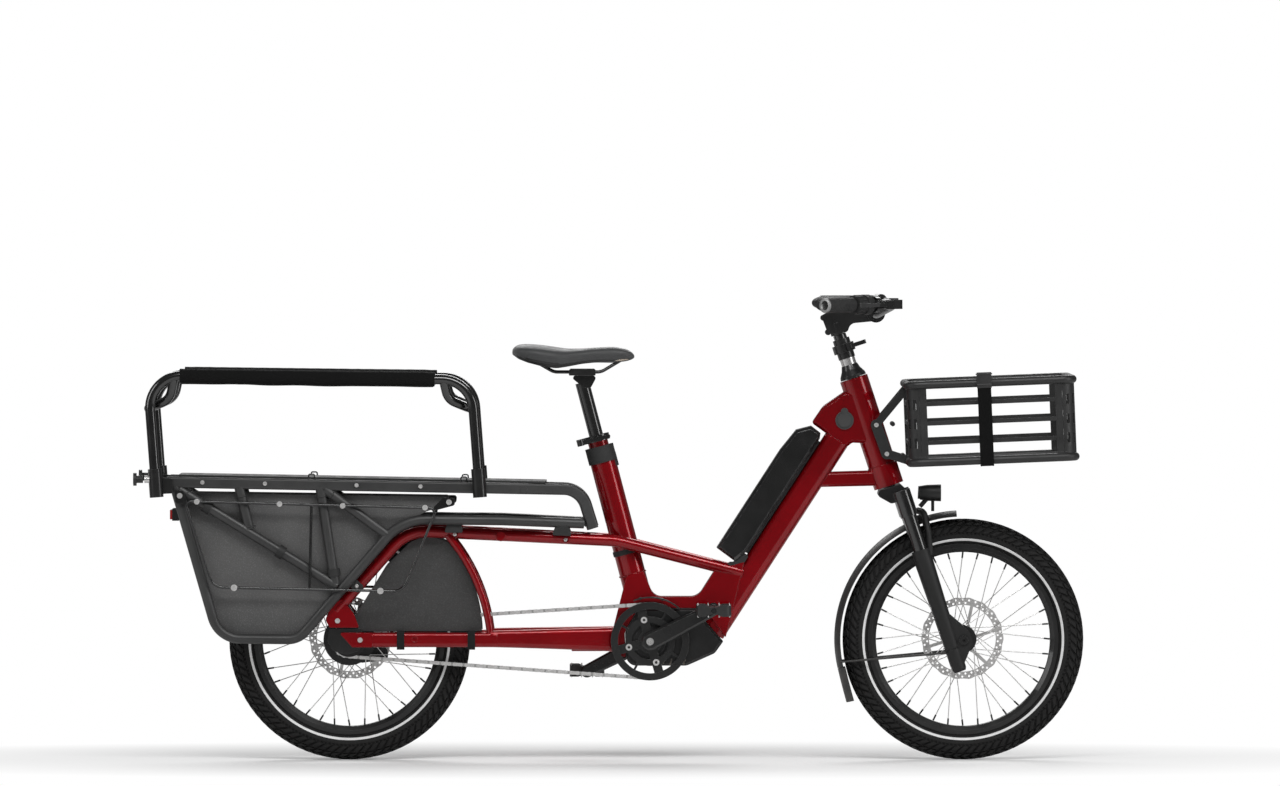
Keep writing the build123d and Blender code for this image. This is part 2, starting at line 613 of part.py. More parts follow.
def arched_section(half, edge, crown, thick):
    """Section of an arched sheet: its half width, the radii of its edges and crown, and its thickness."""
    return Face(Wire([
        ThreePointArc((-half, edge), (0, crown), (half, edge)).edge(),
        Line((half, edge), (half, edge - thick)).edge(),
        ThreePointArc((half, edge - thick), (0, crown - thick), (-half, edge - thick)).edge(),
        Line((-half, edge - thick), (-half, edge)).edge()]))


def mudguard(axle_x, start, arc):
    """Arched mudguard shell round a wheel."""
    return turned(arched_section(32, 270, 281, 2), axle_x, AXLE_HEIGHT, start, arc)


def front_mudguard():
    """Front mudguard, its flap and the stays to the fork's lugs."""
    shell = mudguard(FRONT_AXLE_X, 93, 100)
    reach, end = 1500, 193.3
    centre_x = FRONT_AXLE_X - reach * cos(radians(end))
    centre_z = AXLE_HEIGHT - reach * sin(radians(end))
    flap = turned(Pos(0, reach) * arched_section(34, 267, 281, 3), centre_x, centre_z, end, 2.45)
    stay = rod((500, -34, 214), (735, -58, 235), 2.4) - fork_lowers() - shell
    bracket = STEER * Pos(45, 0, -334) * Box(16, 20, 12) - fork_lowers() - shell
    return [shell, flap, *both_sides(stay), bracket]


LAMP_X, LAMP_Z = 670, 582


def headlight():
    """Lamp housing with its bracket, on the fork's arch."""
    lamp = Plane(origin=(LAMP_X, 0, LAMP_Z + 1), z_dir=(1, 0, -0.05)) * Cylinder(14, 8, align=BASE)
    body = loft([Plane(origin=(LAMP_X + x, 0, LAMP_Z), z_dir=(1, 0, 0)) * Circle(radius)
                 for x, radius in ((4, 15), (20, 17.5), (50, 18.5))], ruled=True)
    cavity = Plane(origin=(LAMP_X + 44, 0, LAMP_Z), z_dir=(1, 0, 0)) * Cylinder(16, 10, align=BASE)
    lens = Plane(origin=(LAMP_X + 45, 0, LAMP_Z), z_dir=(1, 0, 0)) * Cylinder(15.9, 4.5, align=BASE)
    arm = rod((674, 0, 552), (690, 0, 570), 5) - body - fork_lowers()
    pin = rod((702, 0, 542), (702, 0, 566), 3.5) - body
    return [lamp + body - cavity, lens, arm, pin]


def stem_column():
    """Rubber cone, ring and slotted sleeve that clamp round the steerer."""
    rounds = ((1.5, 29), (8, 28), (20, 21), (31, 17.5))
    cone = loft([Plane(origin=(0, 0, z)) * Circle(radius) for z, radius in rounds], ruled=True)
    ring = Pos(0, 0, 31) * Cylinder(16.5, 15, align=BASE)
    sleeve = Pos(0, 0, 46) * Cylinder(18.5, 44, align=BASE)
    collar = Pos(0, 0, 60) * Cylinder(24, 18, align=BASE) + Pos(14, -24, 60) * Box(14, 14, 18, align=BASE)
    steerer = Cylinder(14.32, 110, align=BASE)
    return [STEER * (part - steerer) for part in (cone, ring, sleeve + collar)]


def stem_lever():
    """Quick-release lever beside the column; it opens outward."""
    return STEER * Pos(32.5, -34.5, 65) * extrude(SlotCenterToCenter(29, 6), 9)


def stem():
    """Height-adjustable quill and the stem that holds the bar."""
    quill = Pos(0, 0, -110) * Cylinder(12, 220, align=BASE)
    post = Pos(0, 0, 101) * Cylinder(18, 26, align=BASE)
    arm = slab(outline((-23, 108, 8), (-25, 152, 8), (8, 158, 12), (96, 138, 10), (104, 116, 12),
                       (88, 103, 12), (30, 116, 16), (20, 102, 4)), -17, 17)
    bolts = [Pos(-22, 0, z) * Rot(90, 0, 0) * Cylinder(6.5, 30) for z in (113, 146)]
    clamp = Pos(90, 0, 119.5) * Rot(90, 0, 0) * Cylinder(20, 44)
    bar = Pos(90, 0, 119.5) * Rot(90, 0, 0) * Cylinder(15.9, 80)
    return STEER * (fused([quill, post, arm, *bolts, clamp]) - bar)


BAR_CENTRE = STEER.from_local_coords((90, 0, 119.5))
GRIP_INNER, GRIP_OUTER = Vector(560, 212, 995), Vector(462, 318, 994)
GRIP_ALONG = (GRIP_OUTER - GRIP_INNER).normalized()
LEVER_PIVOT = 43


def grip_frame(distance):
    """Frame on the left grip's axis, with Z pointing out along it and X level, ahead of the bar."""
    forward = Vector(GRIP_ALONG.Y, -GRIP_ALONG.X, 0)
    return Plane(origin=GRIP_INNER + GRIP_ALONG * distance, x_dir=forward, z_dir=GRIP_ALONG)


def handlebar():
    """Swept-back bar with a thicker middle."""
    x, z = BAR_CENTRE.X, BAR_CENTRE.Z
    half = [(x, 50, z), tuple(GRIP_INNER - GRIP_ALONG * 80), tuple(GRIP_OUTER)]
    other_half = [(px, -py, pz) for px, py, pz in reversed(half)]
    tube = bent_tube(other_half + half, 11, [42, 60, 60, 42])
    middle = Pos(x, 0, z) * Rot(90, 0, 0) * Cylinder(15.85, 60)
    return tube + middle


def control_mounts():
    """Brake lever clamps with their reservoirs, and the drive remote on the left."""
    bore = grip_frame(-60) * Cylinder(11.2, 60, align=BASE)
    ring = grip_frame(-26) * Cylinder(17, 14, align=BASE)
    body = grip_frame(-32) * Pos(26, 0, 0) * Box(26, 16, 31, align=BASE)
    ears = grip_frame(-12) * Pos(36, 0, 0) * Box(22, 16, 20, align=BASE)
    tank = grip_frame(-62) * Pos(30, 0, 0) * Box(20, 20, 30, align=BASE)
    slot = grip_frame(-7) * Pos(46, 0, 0) * Box(30, 10, 20, align=BASE)
    pin = grip_frame(3) * Pos(LEVER_PIVOT, 0, 0) * Rot(90, 0, 0) * Cylinder(2, 15)
    clamp = fused([fused([ring, body, ears, tank]) - slot - bore, pin])
    remote = grip_frame(-52) * Pos(-2, 0, 0) * Cylinder(19, 18, align=BASE)
    pocket = grip_frame(-43) * Pos(-20, 0, 0) * Box(8, 12, 9)
    return [*both_sides(clamp), remote - pocket - bore]


def grips():
    """Winged grips on both ends; the drive side one is shorter, behind the twist shifter."""
    parts = []
    for side, start in ((1, 0), (-1, 56)):
        length = (GRIP_OUTER - GRIP_INNER).length
        barrel = Cylinder(16.5, length - start + 3, align=BASE)
        wing = Pos(-16, 0, 22) * extrude(RectangleRounded(38, 16, 6), length - start - 20)
        core = Pos(0, 0, -1) * Cylinder(11.05, length - start + 1, align=BASE)
        grip = grip_frame(start) * (barrel + wing - core)
        parts.append(grip if side > 0 else other_side(grip))
    return parts


def twist_shifter():
    """Ribbed shifter barrel on the drive side."""
    barrel = Cylinder(20, 50, align=BASE) + Pos(0, 0, 3) * Cylinder(22, 18, align=BASE)
    ribs = [Rot(0, 0, 30 * k) * Pos(20, 0, 24) * Cylinder(1.6, 24, align=BASE) for k in range(12)]
    return other_side(grip_frame(3) * (fused([barrel, *ribs]) - Cylinder(11.06, 50, align=BASE)))


def brake_lever():
    """Left brake lever blade, hinged on the pin at the front of its clamp."""
    blade = outline((34, 2, 4), (52, 2, 8), (58, 34, 20), (49, 92, 3), (42, 92, 2), (46, 40, 12), (34, 14, 2))
    blade = blade - Pos(LEVER_PIVOT, 8) * Circle(2.05)
    return slab(blade, -4.5, 4.5, grip_frame(-5))


def remote_button():
    """Rocker in the remote's pocket."""
    return grip_frame(-43) * Pos(-19.5, 0, 0) * Box(4, 11.6, 8.6)


# ---------------------------------------------------------------- battery
@cache
def battery():
    """Removable battery on the down tube's upper face."""
    face = outline((-92, 164), (-92, 418), (-86, 474), (-63, 499), (-38, 497), (-33, 486), (-33, 192),
                   (-44, 161))
    return chamfer_edges(slab(face, -42, 42, DOWN), 6)


def battery_dock():
    """Contact rail and foot under the battery."""
    rail = DOWN * Pos(-30.6, 0, 190) * Box(4.4, 40, 290, align=BASE)
    foot_face = outline((-44, 157, 3), (-60, 146, 6), (-24, 136, 3), (-24, 186, 3), (-34, 186, 3))
    foot = slab(foot_face, -34, 34, DOWN)
    return cut_by([rail, foot], main_frame(), battery())


def port_cover():
    """Round flip cap over the charging port."""
    return disc(509, 741, 15, -34, -31) + disc(509, 759, 5, -34, -31)


def port_ring():
    """Ring round the charging port, under the flip cap."""
    ring = disc(509, 741, 20, -30.8, -27.1) + disc(509, 760, 8, -30.8, -27.1)
    plug = disc(509, 741, 11.9, -27.1, -22)
    return ring + plug - disc(509, 741, 8, -31, -28)


# ---------------------------------------------------------------- rack
def rack_loop():
    """Lower tube: front rail, bend, slope round the wheel, bottom and rear upright."""
    path = [(-60, 70, 517), (-240, RACK_Y, 525), (-454, RACK_Y, 527), (-680, RACK_Y, 266),
            (-853, RACK_Y, 268), (-948, RACK_Y, 598)]
    return bent_tube(path, RACK_TUBE_RADIUS, [120, 115, 48, 62])


def rack_rail():
    """Upper side rail that curves down to the lower tube behind the seat tube."""
    start = (RAIL_REAR_X, RACK_Y, deck_z(RAIL_REAR_X) - 12)
    path = [start, (-250, RACK_Y, deck_z(-250) - 12), (-66, 66, deck_z(-66) - 13), (-40, 62, 506)]
    route = FilletPolyline(*path, radius=[200, 52])
    section = Plane(origin=route @ 0, x_dir=(0, 1, 0), z_dir=route % 0) * RectangleRounded(20, 24, 5)
    return sweep(section, path=route)


def strut(start, end):
    return rod((start[0], RACK_Y, start[1]), (end[0], RACK_Y, end[1]), RACK_TUBE_RADIUS)


STRUT_RUNS = [((-939, 592), (-596, 381)), ((-808, 596), (-786, 506)), ((-632, 596), (-600, 388)),
              ((-622, 592), (-488, 494))]


@cache
def rack_frame():
    """Welded side frames of the rack with the cross tubes between them."""
    side = [rack_loop(), rack_rail(), *[strut(*run) for run in STRUT_RUNS]]
    stations = (-950, -760, -570, -380, -190)
    cross = [rod((x, -RACK_Y, deck_z(x) - 14), (x, RACK_Y, deck_z(x) - 14), 8) for x in stations]
    front = rod((-52, -66, 518), (-52, 66, 518), 9)
    return fused([*both_sides(*side), *cross, front, rod((-936, -RACK_Y, 552), (-936, RACK_Y, 552), 8)])


def tube_clamp(centre, along, radius, length):
    """Sleeve round a rack tube."""
    frame = Plane(origin=centre, z_dir=along)
    ring = Cylinder(radius + 3.5, length) - Cylinder(radius + 0.02, length)
    return frame * ring


def rack_clamps():
    """Sleeves on the struts, blocks between the rack and the frame, and the soft straps round the stays."""
    slope = Vector(-596 + 939, 0, 381 - 592)
    sleeves = [tube_clamp((x, RACK_Y, z), slope, 11, 16) for x, z in ((-877, 553.9), (-718, 456))]
    sleeves.append(tube_clamp((-603, RACK_Y, 411), (32, 0, -208), 11, 16))
    block = slab(outline((-362, 498, 3), (-356, 522, 3), (-328, 522, 3), (-322, 498, 3)), 74, 104)
    front_block = slab(outline((-128, 492, 3), (-120, 514, 3), (-94, 514, 3), (-86, 490, 3)), 52, 86)
    tab = slab(outline((-570, 383, 6), (-556, 398, 6), (-536, 380, 6), (-552, 366, 6)), 76, 104)
    straps = [Pos(x, STAY_Y, 264) * Box(16, 26, 42) for x in (-458, -304)]
    return both_sides(*sleeves, block, front_block, tab, *straps)


def rack_deck():
    """Slotted deck between the rails."""
    plate = DECK * Pos(425, 0, 0.5) * extrude(RectangleRounded(800, 180, 12), 4)
    slot = RectangleRounded(34, 12, 5.5)
    holes = [DECK * Pos(60 + 48 * column, 27 * row, -1) * extrude(slot, 8)
             for column in range(16) for row in range(-2, 3) if row % 2 == column % 2]
    return plate - holes


def side_panels():
    """Large wheel panels inside the rack's loops, and skirt panels ahead of them."""
    large = outline((-936, 584, 4), (-356, 576, 4), (-356, 558, 8), (-404, 543, 30), (-454, 515, 0),
                    (-683, 272, 20), (-846, 272, 40), (-872, 336, 0))
    with BuildSketch() as skirt:
        with BuildLine():
            Line((-562, 308), (-547, 282))
            Line((-547, 282), (-281, 282))
            ThreePointArc((-281, 282), (-303, 388), (-354, 474))
            ThreePointArc((-354, 474), (-396, 487), (-440, 474))
            Line((-440, 474), (-490, 425))
            Line((-490, 425), (-562, 308))
        make_face()
    return both_sides(slab(large, SIDE_PANEL_Y, SIDE_PANEL_Y + PANEL_THICKNESS),
                      slab(skirt.sketch, SKIRT_Y, SKIRT_Y + PANEL_THICKNESS))


def wire_rails():
    """Wire rails outside the panels, and the tie hooks on the rack's rails."""
    ring = [(-926, 567), (-378, 552), (-452, 371), (-866, 380)]
    radii = [8, 12, 34, 34]
    frame = bent_tube([(x, WIRE_Y, z) for x, z in ring], 3, radii, close=True)
    middle = rod((-651, WIRE_Y, 557), (-655, WIRE_Y, 377), 3)
    ends = [slab(outline((-948, 592, 4), (-930, 590, 5), (-920, 560, 4), (-946, 562, 6)), 116.2, 124),
            slab(outline((-366, 574, 6), (-338, 574, 6), (-340, 558, 6), (-396, 543, 5)), 116.2, 124)]
    return both_sides(fused([frame, middle, *ends]), *[tie_hook(x) for x in (-651, -320)])


def tie_hook(x):
    """Small wire loop on top of a rack rail."""
    top = deck_z(x)
    path = [(x - 7, RACK_Y, top + 0.4), (x - 6, RACK_Y, top + 11), (x + 6, RACK_Y, top + 11),
            (x + 7, RACK_Y, top + 0.2)]
    return bent_tube(path, 1.6, 3)


def rear_light():
    """Red rear lamp on the rack's cross tube."""
    body = Pos(-950, 0, 535) * Box(14, 74, 26)
    lens = Pos(-959.5, 0, 535) * Box(5, 66, 20)
    clamp = Pos(-941, 0, 546) * Box(12, 24, 22)
    tube = rod((-936, -RACK_Y, 552), (-936, RACK_Y, 552), 8)
    return [body + clamp - tube, lens]


# ---------------------------------------------------------------- passenger hoop
def hoop_bar():
    """Hoops on both sides with a dipped cross tube at each end."""
    foot, top_rear, top_front = SOCKET_Z - 14, 841, 831
    corners = ((HOOP_REAR_X, foot), (HOOP_REAR_X, top_rear), (HOOP_FRONT_X, top_front), (HOOP_FRONT_X, foot))
    side = bent_tube([(hoop_x(x, z), HOOP_Y, z) for x, z in corners], HOOP_RADIUS, [70, 70])
    tubes = both_sides(side)
    for along, corner, top in ((-1, HOOP_REAR_X - 18, 839), (1, HOOP_FRONT_X - 20, 832)):
        inner = corner - along * 58
        dip = inner + along * 10
        cross = [(inner, HOOP_Y, top), (dip, HOOP_Y - 12, 788), (corner, HOOP_Y - 32, 768),
                 (corner, 32 - HOOP_Y, 768), (dip, 12 - HOOP_Y, 788), (inner, -HOOP_Y, top)]
        tubes.append(bent_tube(cross, HOOP_RADIUS - 1, [36, 40, 40, 36]))
    return fused(tubes)


def rail_sleeves():
    """Padded sleeves round the hoop's top rails."""
    start, end = Vector(-936, HOOP_Y, 839), Vector(-382, HOOP_Y, 832)
    frame = Plane(origin=start, z_dir=end - start)
    tube = Cylinder(17.5, (end - start).length, align=BASE) - Cylinder(12.6, (end - start).length, align=BASE)
    return both_sides(frame * tube)


def bar_sockets():
    """Sockets on the rack's rails that hold the hoop's legs, with plunger housings at the rear."""
    parts = []
    for foot_x, reach in ((HOOP_REAR_X, 24), (HOOP_FRONT_X, 0)):
        bottom = SOCKET_Z - 24
        leg = leaning(hoop_x(foot_x, bottom), bottom, HOOP_LEAN)
        sleeve = leg * Pos(0, HOOP_Y, 0) * Cylinder(15, 62, align=BASE)
        bore = leg * Pos(0, HOOP_Y, 6) * Cylinder(11.08, 80, align=BASE)
        arm = slab(outline((foot_x - 14, 582, 6), (foot_x - 8, 622, 8), (foot_x + 12 + reach, 616, 6),
                           (foot_x + 12 + reach, 584, 4)), 115.3, 128.5)
        parts.append(sleeve + arm - bore)
    housing = rod((-1002, HOOP_Y, 615), (-1013, HOOP_Y, 615), 8)
    pin = rod((-995, HOOP_Y, 615), (-1014, HOOP_Y, 615), 3.06)
    rear = parts[0] + housing - pin
    leg = leaning(hoop_x(HOOP_REAR_X, SOCKET_Z), SOCKET_Z, HOOP_LEAN)
    leg_room = leg * Pos(0, HOOP_Y, -20) * Cylinder(11.08, 80, align=BASE)
    return both_sides(rear - leg_room, parts[1])


def release_knobs():
    """Pull knobs of the hoop's locking plungers."""
    pin = rod((-1003.5, HOOP_Y, 615), (-1020, HOOP_Y, 615), 3)
    knob = rod((-1016, HOOP_Y, 615), (-1030, HOOP_Y, 615), 8)
    flange = rod((-1030, HOOP_Y, 615), (-1037, HOOP_Y, 615), 14)
    return both_sides(fused([pin, knob, flange]))


# ---------------------------------------------------------------- basket
def basket_ring(z):
    corners = [(0, -BASKET_HALF_WIDTH, z), (BASKET_LENGTH, -BASKET_HALF_WIDTH, z),
               (BASKET_LENGTH, BASKET_HALF_WIDTH, z), (0, BASKET_HALF_WIDTH, z)]
    return bent_tube(corners, 9, [BASKET_CORNER] * 4, close=True)


def basket_blocks():
    """Blocks that part the basket into its floor and its four walls, which meet face to face."""
    length, corner, floor, far = BASKET_LENGTH, BASKET_CORNER, 12, 300
    spans = (((-far, length + far), (-far, far), (-far, floor)), ((-far, corner), (-far, far), (floor, far)),
             ((length - corner, length + far), (-far, far), (floor, far)),
             ((corner, length - corner), (-far, 0), (floor, far)),
             ((corner, length - corner), (0, far), (floor, far)))
    return [Pos(x, y, z) * Box(x_end - x, y_end - y, z_end - z, align=LOW)
            for (x, x_end), (y, y_end), (z, z_end) in spans]


@cache
def basket():
    """Open basket of two tube rings, stiles, slats, slotted corners and a slatted floor."""
    top, length, half, corner = BASKET_HEIGHT, BASKET_LENGTH, BASKET_HALF_WIDTH, BASKET_CORNER
    stile = corner + 8
    slat_heights = [top * k / 4 for k in (1, 2, 3)]
    parts = [basket_ring(0), basket_ring(top)]
    for y in (-half, half):
        parts += [Pos(x, y, 0) * Box(15, 6, top, align=BASE) for x in (stile, length - stile)]
        parts += [Pos(length / 2, y, z) * Box(length - 2 * corner, 4, 9) for z in slat_heights]
    for x in (0, length):
        parts += [Pos(x, y, 0) * Box(6, 15, top, align=BASE) for y in (stile - half, half - stile)]
        parts += [Pos(x, 0, z) * Box(4, 2 * (half - corner), 9) for z in slat_heights]
    for x, y, turn in ((corner, corner - half, 180), (length - corner, corner - half, 270),
                       (length - corner, half - corner, 0), (corner, half - corner, 90)):
        shell = extrude(quarter_disc(corner + 1.5) - Circle(corner - 1.5), top)
        slots = [Rot(0, 0, angle) * Pos(corner, 0, z) * Box(12, 7, 22)
                 for angle in (25, 65) for z in slat_heights]
        parts.append(Pos(x, y, 0) * Rot(0, 0, turn) * (shell - slots))
    parts += [Pos(length / 2, y, 0) * Box(length - 4, 22, 4) for y in range(-120, 121, 60)]
    body = fused(parts)
    return [BASKET * (body & block) for block in basket_blocks()]


def quarter_disc(radius):
    """Quarter disc between the local X and Y axes."""
    return Circle(radius) & Pos(radius / 2, radius / 2) * Rectangle(radius, radius)


def basket_bracket():
    """Two side frames bolted round the head tube, with arms to the basket's rings."""
    upper, lower = (578, 731), (601, 668)
    link = make_hull([edge for point in (upper, lower) for edge in (Pos(*point) * Circle(12)).edges()])
    high_arm = make_hull([*(Pos(*upper) * Circle(8)).edges(), *(Pos(640, 806) * Circle(8)).edges()])
    low_arm = make_hull([*(Pos(*lower) * Circle(9)).edges(), *(Pos(652, 652) * Circle(9)).edges()])
    side = fused([slab(face, -44, -36) for face in (link, high_arm, low_arm)])
    ties = [rod((x, -40, z), (x, 40, z), 5) for x, z in ((614, 733), (637, 664))]
    head = STEER * Pos(0, 0, -HEAD_TUBE_LENGTH) * Cylinder(33.2, HEAD_TUBE_LENGTH, align=BASE)
    pads = [slab(Pos(*point) * Circle(10), -36, -24) for point in (upper, lower)]
    return fused([*both_sides(side, *pads), *ties]) - head - basket()


def basket_strap():
    """Elastic strap hooked over the drive side of the basket."""
    half, top = BASKET_HALF_WIDTH, BASKET_HEIGHT
    loop = outline((-half - 13, -13, 6), (-half - 13, top + 16, 6), (-half + 13, top + 16, 6),
                   (-half + 13, -13, 6))
    hole = outline((-half - 11, -11, 5), (-half - 11, top + 11, 5), (-half + 11, top + 11, 5),
                   (-half + 11, -11, 5))
    face = Plane(origin=(151, 0, 0), x_dir=(0, 1, 0), z_dir=(1, 0, 0)) * (loop - hole)
    return BASKET * extrude(face, 29)


# ---------------------------------------------------------------- fasteners
def screws():
    """Button-head screws of the deck, rails, panels and dropouts, and the basket's bolts."""
    heads = [bolt_head(x, deck_z(x) - 11, 4.5, -RACK_Y - 10.1, 2.5) for x in (-888, -752, -553, -414)]
    rail_places = ((-900, 566), (-720, 561), (-583, 557), (-404, 553))
    heads += [bolt_head(x, z, 6, -WIRE_Y - 3.05, 3) for x, z in rail_places]
    heads += [bolt_head(x, z, 7, -WIRE_Y - 3.05, 3) for x, z in ((-819, 379), (-501, 372))]
    heads += [bolt_head(x, z, 6, -124.1, 4) for x, z in ((-937, 579), (-352, 565))]
    heads += [bolt_head(x, z, 5.5, -92.05, 3) for x, z in ((-595, 306), (-546, 264))]
    heads += [bolt_head(x, z, 5, -44.05, 3) for x, z in ((578, 731), (601, 668))]
    return both_sides(*heads)


# ---------------------------------------------------------------- one file for each named piece
def save(name, *shapes):
    """Writes a piece's solids to its own STEP file."""
    solids = []
    for shape in shapes:
        for item in shape if isinstance(shape, (list, tuple)) else [shape]:
            solids += item.solids()
    export_step(Compound(solids), f"parts/{name}.step")


os.makedirs("parts", exist_ok=True)
save("main_frame", main_frame())
save("dropout_plates", dropout_plates(), rear_axle())
save("headset_bearings", headset_bearings())
save("battery_dock", battery_dock(), port_ring())
save("battery", battery())
save("port_cover", port_cover())
save("motor_unit", motor_unit())
save("chainring", chainring())
save("crankset", crankset())
save("pedal_right", pedal())
save("pedal_left", Pos(2 * CRANK_X, 0, 2 * CRANK_Z) * Rot(0, 180, 0) * other_side(pedal()))
save("chain", chain())
save("rear_sprocket", rear_sprocket())
save("seat_clamp", seat_clamp(), seat_tube_boot())
save("seat_clamp_lever", seat_clamp_lever())
save("seatpost", seatpost())
save("saddle_rails", saddle_rails())
save("saddle", saddle())
save("rear_tyre", tyre(REAR_AXLE_X))
save("rear_rim", rim(REAR_AXLE_X))
save("rear_spokes", spokes(REAR_AXLE_X, 46, (-31.5, 32.5)))
save("rear_hub", rear_hub())
save("rear_disc", brake_disc(REAR_AXLE_X, REAR_DISC_Y, 12.1))
save("rear_caliper", rear_caliper())
save("rear_mudguard", mudguard(REAR_AXLE_X, 14, 156))
save("front_tyre", tyre(FRONT_AXLE_X))
save("front_rim", rim(FRONT_AXLE_X))
save("front_spokes", spokes(FRONT_AXLE_X, 29, (-29.5, 24.5)))
save("front_hub", front_hub())
save("front_disc", brake_disc(FRONT_AXLE_X, FRONT_DISC_Y, 12.1))
save("front_axle", front_axle())
save("front_caliper", front_caliper())
save("front_mudguard", front_mudguard())
save("fork_crown", fork_crown())
save("fork_lowers", fork_lowers())
save("headlight", headlight())
save("stem_column", stem_column())
save("stem_lever", stem_lever())
save("stem", stem())
save("handlebar", handlebar())
save("control_mounts", control_mounts())
save("grips", grips())
save("twist_shifter", twist_shifter())
save("brake_lever_left", brake_lever())
save("brake_lever_right", other_side(brake_lever()))
save("remote_button", remote_button())
save("rack_frame", rack_frame())
save("rack_clamps", cut_by(rack_clamps(), rack_frame(), main_frame()))
save("rack_deck", rack_deck())
save("side_panels", side_panels())
save("wire_rails", wire_rails())
save("rear_light", rear_light())
save("hoop_bar", hoop_bar())
save("rail_sleeves", rail_sleeves())
save("bar_sockets", bar_sockets())
save("release_knobs", release_knobs())
save("basket", basket())
save("basket_bracket", basket_bracket())
save("basket_strap", basket_strap())
save("screws", screws())
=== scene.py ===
"""Looks of the long-tail cargo bicycle, built around its CAD frame. Metres, +X ahead, +Z up."""

import json
import math

import bmesh
import bpy
import numpy as np
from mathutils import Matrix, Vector


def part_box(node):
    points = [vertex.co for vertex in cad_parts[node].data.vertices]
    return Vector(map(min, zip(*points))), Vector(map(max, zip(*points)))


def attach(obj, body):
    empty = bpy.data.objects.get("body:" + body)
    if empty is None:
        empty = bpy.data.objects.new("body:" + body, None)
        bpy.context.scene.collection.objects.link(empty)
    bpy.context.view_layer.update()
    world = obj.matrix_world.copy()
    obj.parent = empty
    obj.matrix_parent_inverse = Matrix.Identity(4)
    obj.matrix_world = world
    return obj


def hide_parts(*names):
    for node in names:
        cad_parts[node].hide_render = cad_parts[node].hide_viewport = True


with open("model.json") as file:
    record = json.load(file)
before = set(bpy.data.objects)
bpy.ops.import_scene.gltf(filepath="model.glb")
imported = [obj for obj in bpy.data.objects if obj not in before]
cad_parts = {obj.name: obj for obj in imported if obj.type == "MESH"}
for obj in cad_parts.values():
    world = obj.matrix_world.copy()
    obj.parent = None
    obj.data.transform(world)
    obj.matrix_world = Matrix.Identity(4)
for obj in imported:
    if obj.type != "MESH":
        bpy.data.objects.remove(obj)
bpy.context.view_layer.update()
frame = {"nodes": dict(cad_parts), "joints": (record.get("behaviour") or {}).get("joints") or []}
JOINTS = {joint["name"]: joint for joint in frame["joints"]}
MM = 0.001
TURN = 2 * math.pi


# ---------- places read from the frame
def middle_of(node):
    low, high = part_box(node)
    return (low + high) / 2


FRONT_AXLE = middle_of("front_rim")
REAR_AXLE = middle_of("rear_rim")
CRANK = Vector(JOINTS["crank_turn"]["pos_m"])
CHAIN_Y = middle_of("chain").y
STEER_AXIS = Vector(JOINTS["steering"]["axis"]).normalized()


# ---------- material graphs
class Graph:
    """A material and the few node patterns that its finish is made from."""

    def __init__(self, name):
        self.material = bpy.data.materials.new(name)
        self.material.use_nodes = True
        self.tree = self.material.node_tree
        self.shader = self.tree.nodes["Principled BSDF"]
        self.place = self.add("ShaderNodeTexCoord").outputs["Object"]

    def add(self, kind, settings=None, **inputs):
        """New node; an input is a value or another node's output, with _ for a space in its name."""
        node = self.tree.nodes.new(kind)
        for key, value in (settings or {}).items():
            setattr(node, key, value)
        for key, value in inputs.items():
            self.feed(node.inputs[key.replace("_", " ")], value)
        return node

    def feed(self, socket, value):
        if isinstance(value, bpy.types.NodeSocket):
            self.tree.links.new(value, socket)
        else:
            socket.default_value = value

    def set(self, **inputs):
        for key, value in inputs.items():
            self.feed(self.shader.inputs[key.replace("_", " ")], value)

    def noise(self, scale, detail, place=None):
        node = self.add("ShaderNodeTexNoise", Vector=place or self.place, Scale=scale, Detail=detail)
        return node.outputs["Fac"]

    def cells(self, scale):
        return self.add("ShaderNodeTexVoronoi", Vector=self.place, Scale=scale).outputs["Distance"]

    def waves(self, scale, axis):
        settings = {"wave_type": "BANDS", "bands_direction": axis}
        node = self.add("ShaderNodeTexWave", settings, Vector=self.place, Scale=scale, Distortion=0)
        return node.outputs["Fac"]

    def span(self, value, low, high, to_low=0.0, to_high=1.0):
        """Value stretched from one range to another, and held at its ends."""
        node = self.add("ShaderNodeMapRange")
        for socket, given in zip(node.inputs[:5], (value, low, high, to_low, to_high)):
            self.feed(socket, given)
        return node.outputs[0]

    def sum(self, operation, first, second):
        node = self.add("ShaderNodeMath", {"operation": operation})
        self.feed(node.inputs[0], first)
        self.feed(node.inputs[1], second)
        return node.outputs[0]

    def blend(self, share, first, second):
        node = self.add("ShaderNodeMix", {"data_type": "RGBA"})
        self.feed(node.inputs[0], share)
        self.feed(node.inputs[6], first)
        self.feed(node.inputs[7], second)
        return node.outputs[2]

    def bump(self, height, depth, below=None):
        node = self.add("ShaderNodeBump", Height=height, Distance=depth)
        if below is not None:
            self.feed(node.inputs["Normal"], below)
        return node.outputs["Normal"]

    def edges(self, radius):
        """1 along sharp edges, 0 on faces, from how far a rounded normal turns away from the true one."""
        rounded = self.add("ShaderNodeBevel", {"samples": 4}, Radius=radius).outputs["Normal"]
        true = self.add("ShaderNodeNewGeometry").outputs["Normal"]
        dot = self.add("ShaderNodeVectorMath", {"operation": "DOT_PRODUCT"})
        self.feed(dot.inputs[0], rounded)
        self.feed(dot.inputs[1], true)
        return self.span(dot.outputs["Value"], 0.98, 0.80), rounded

    def around(self, centre):
        """Distance from a wheel's axis, for marks that run round it."""
        across = self.add("ShaderNodeVectorMath", {"operation": "MULTIPLY_ADD"})
        self.feed(across.inputs[0], self.place)
        across.inputs[1].default_value = (1, 0, 1)
        across.inputs[2].default_value = (-centre.x, 0, -centre.z)
        length = self.add("ShaderNodeVectorMath", {"operation": "LENGTH"})
        self.feed(length.inputs[0], across.outputs[0])
        return length.outputs["Value"]


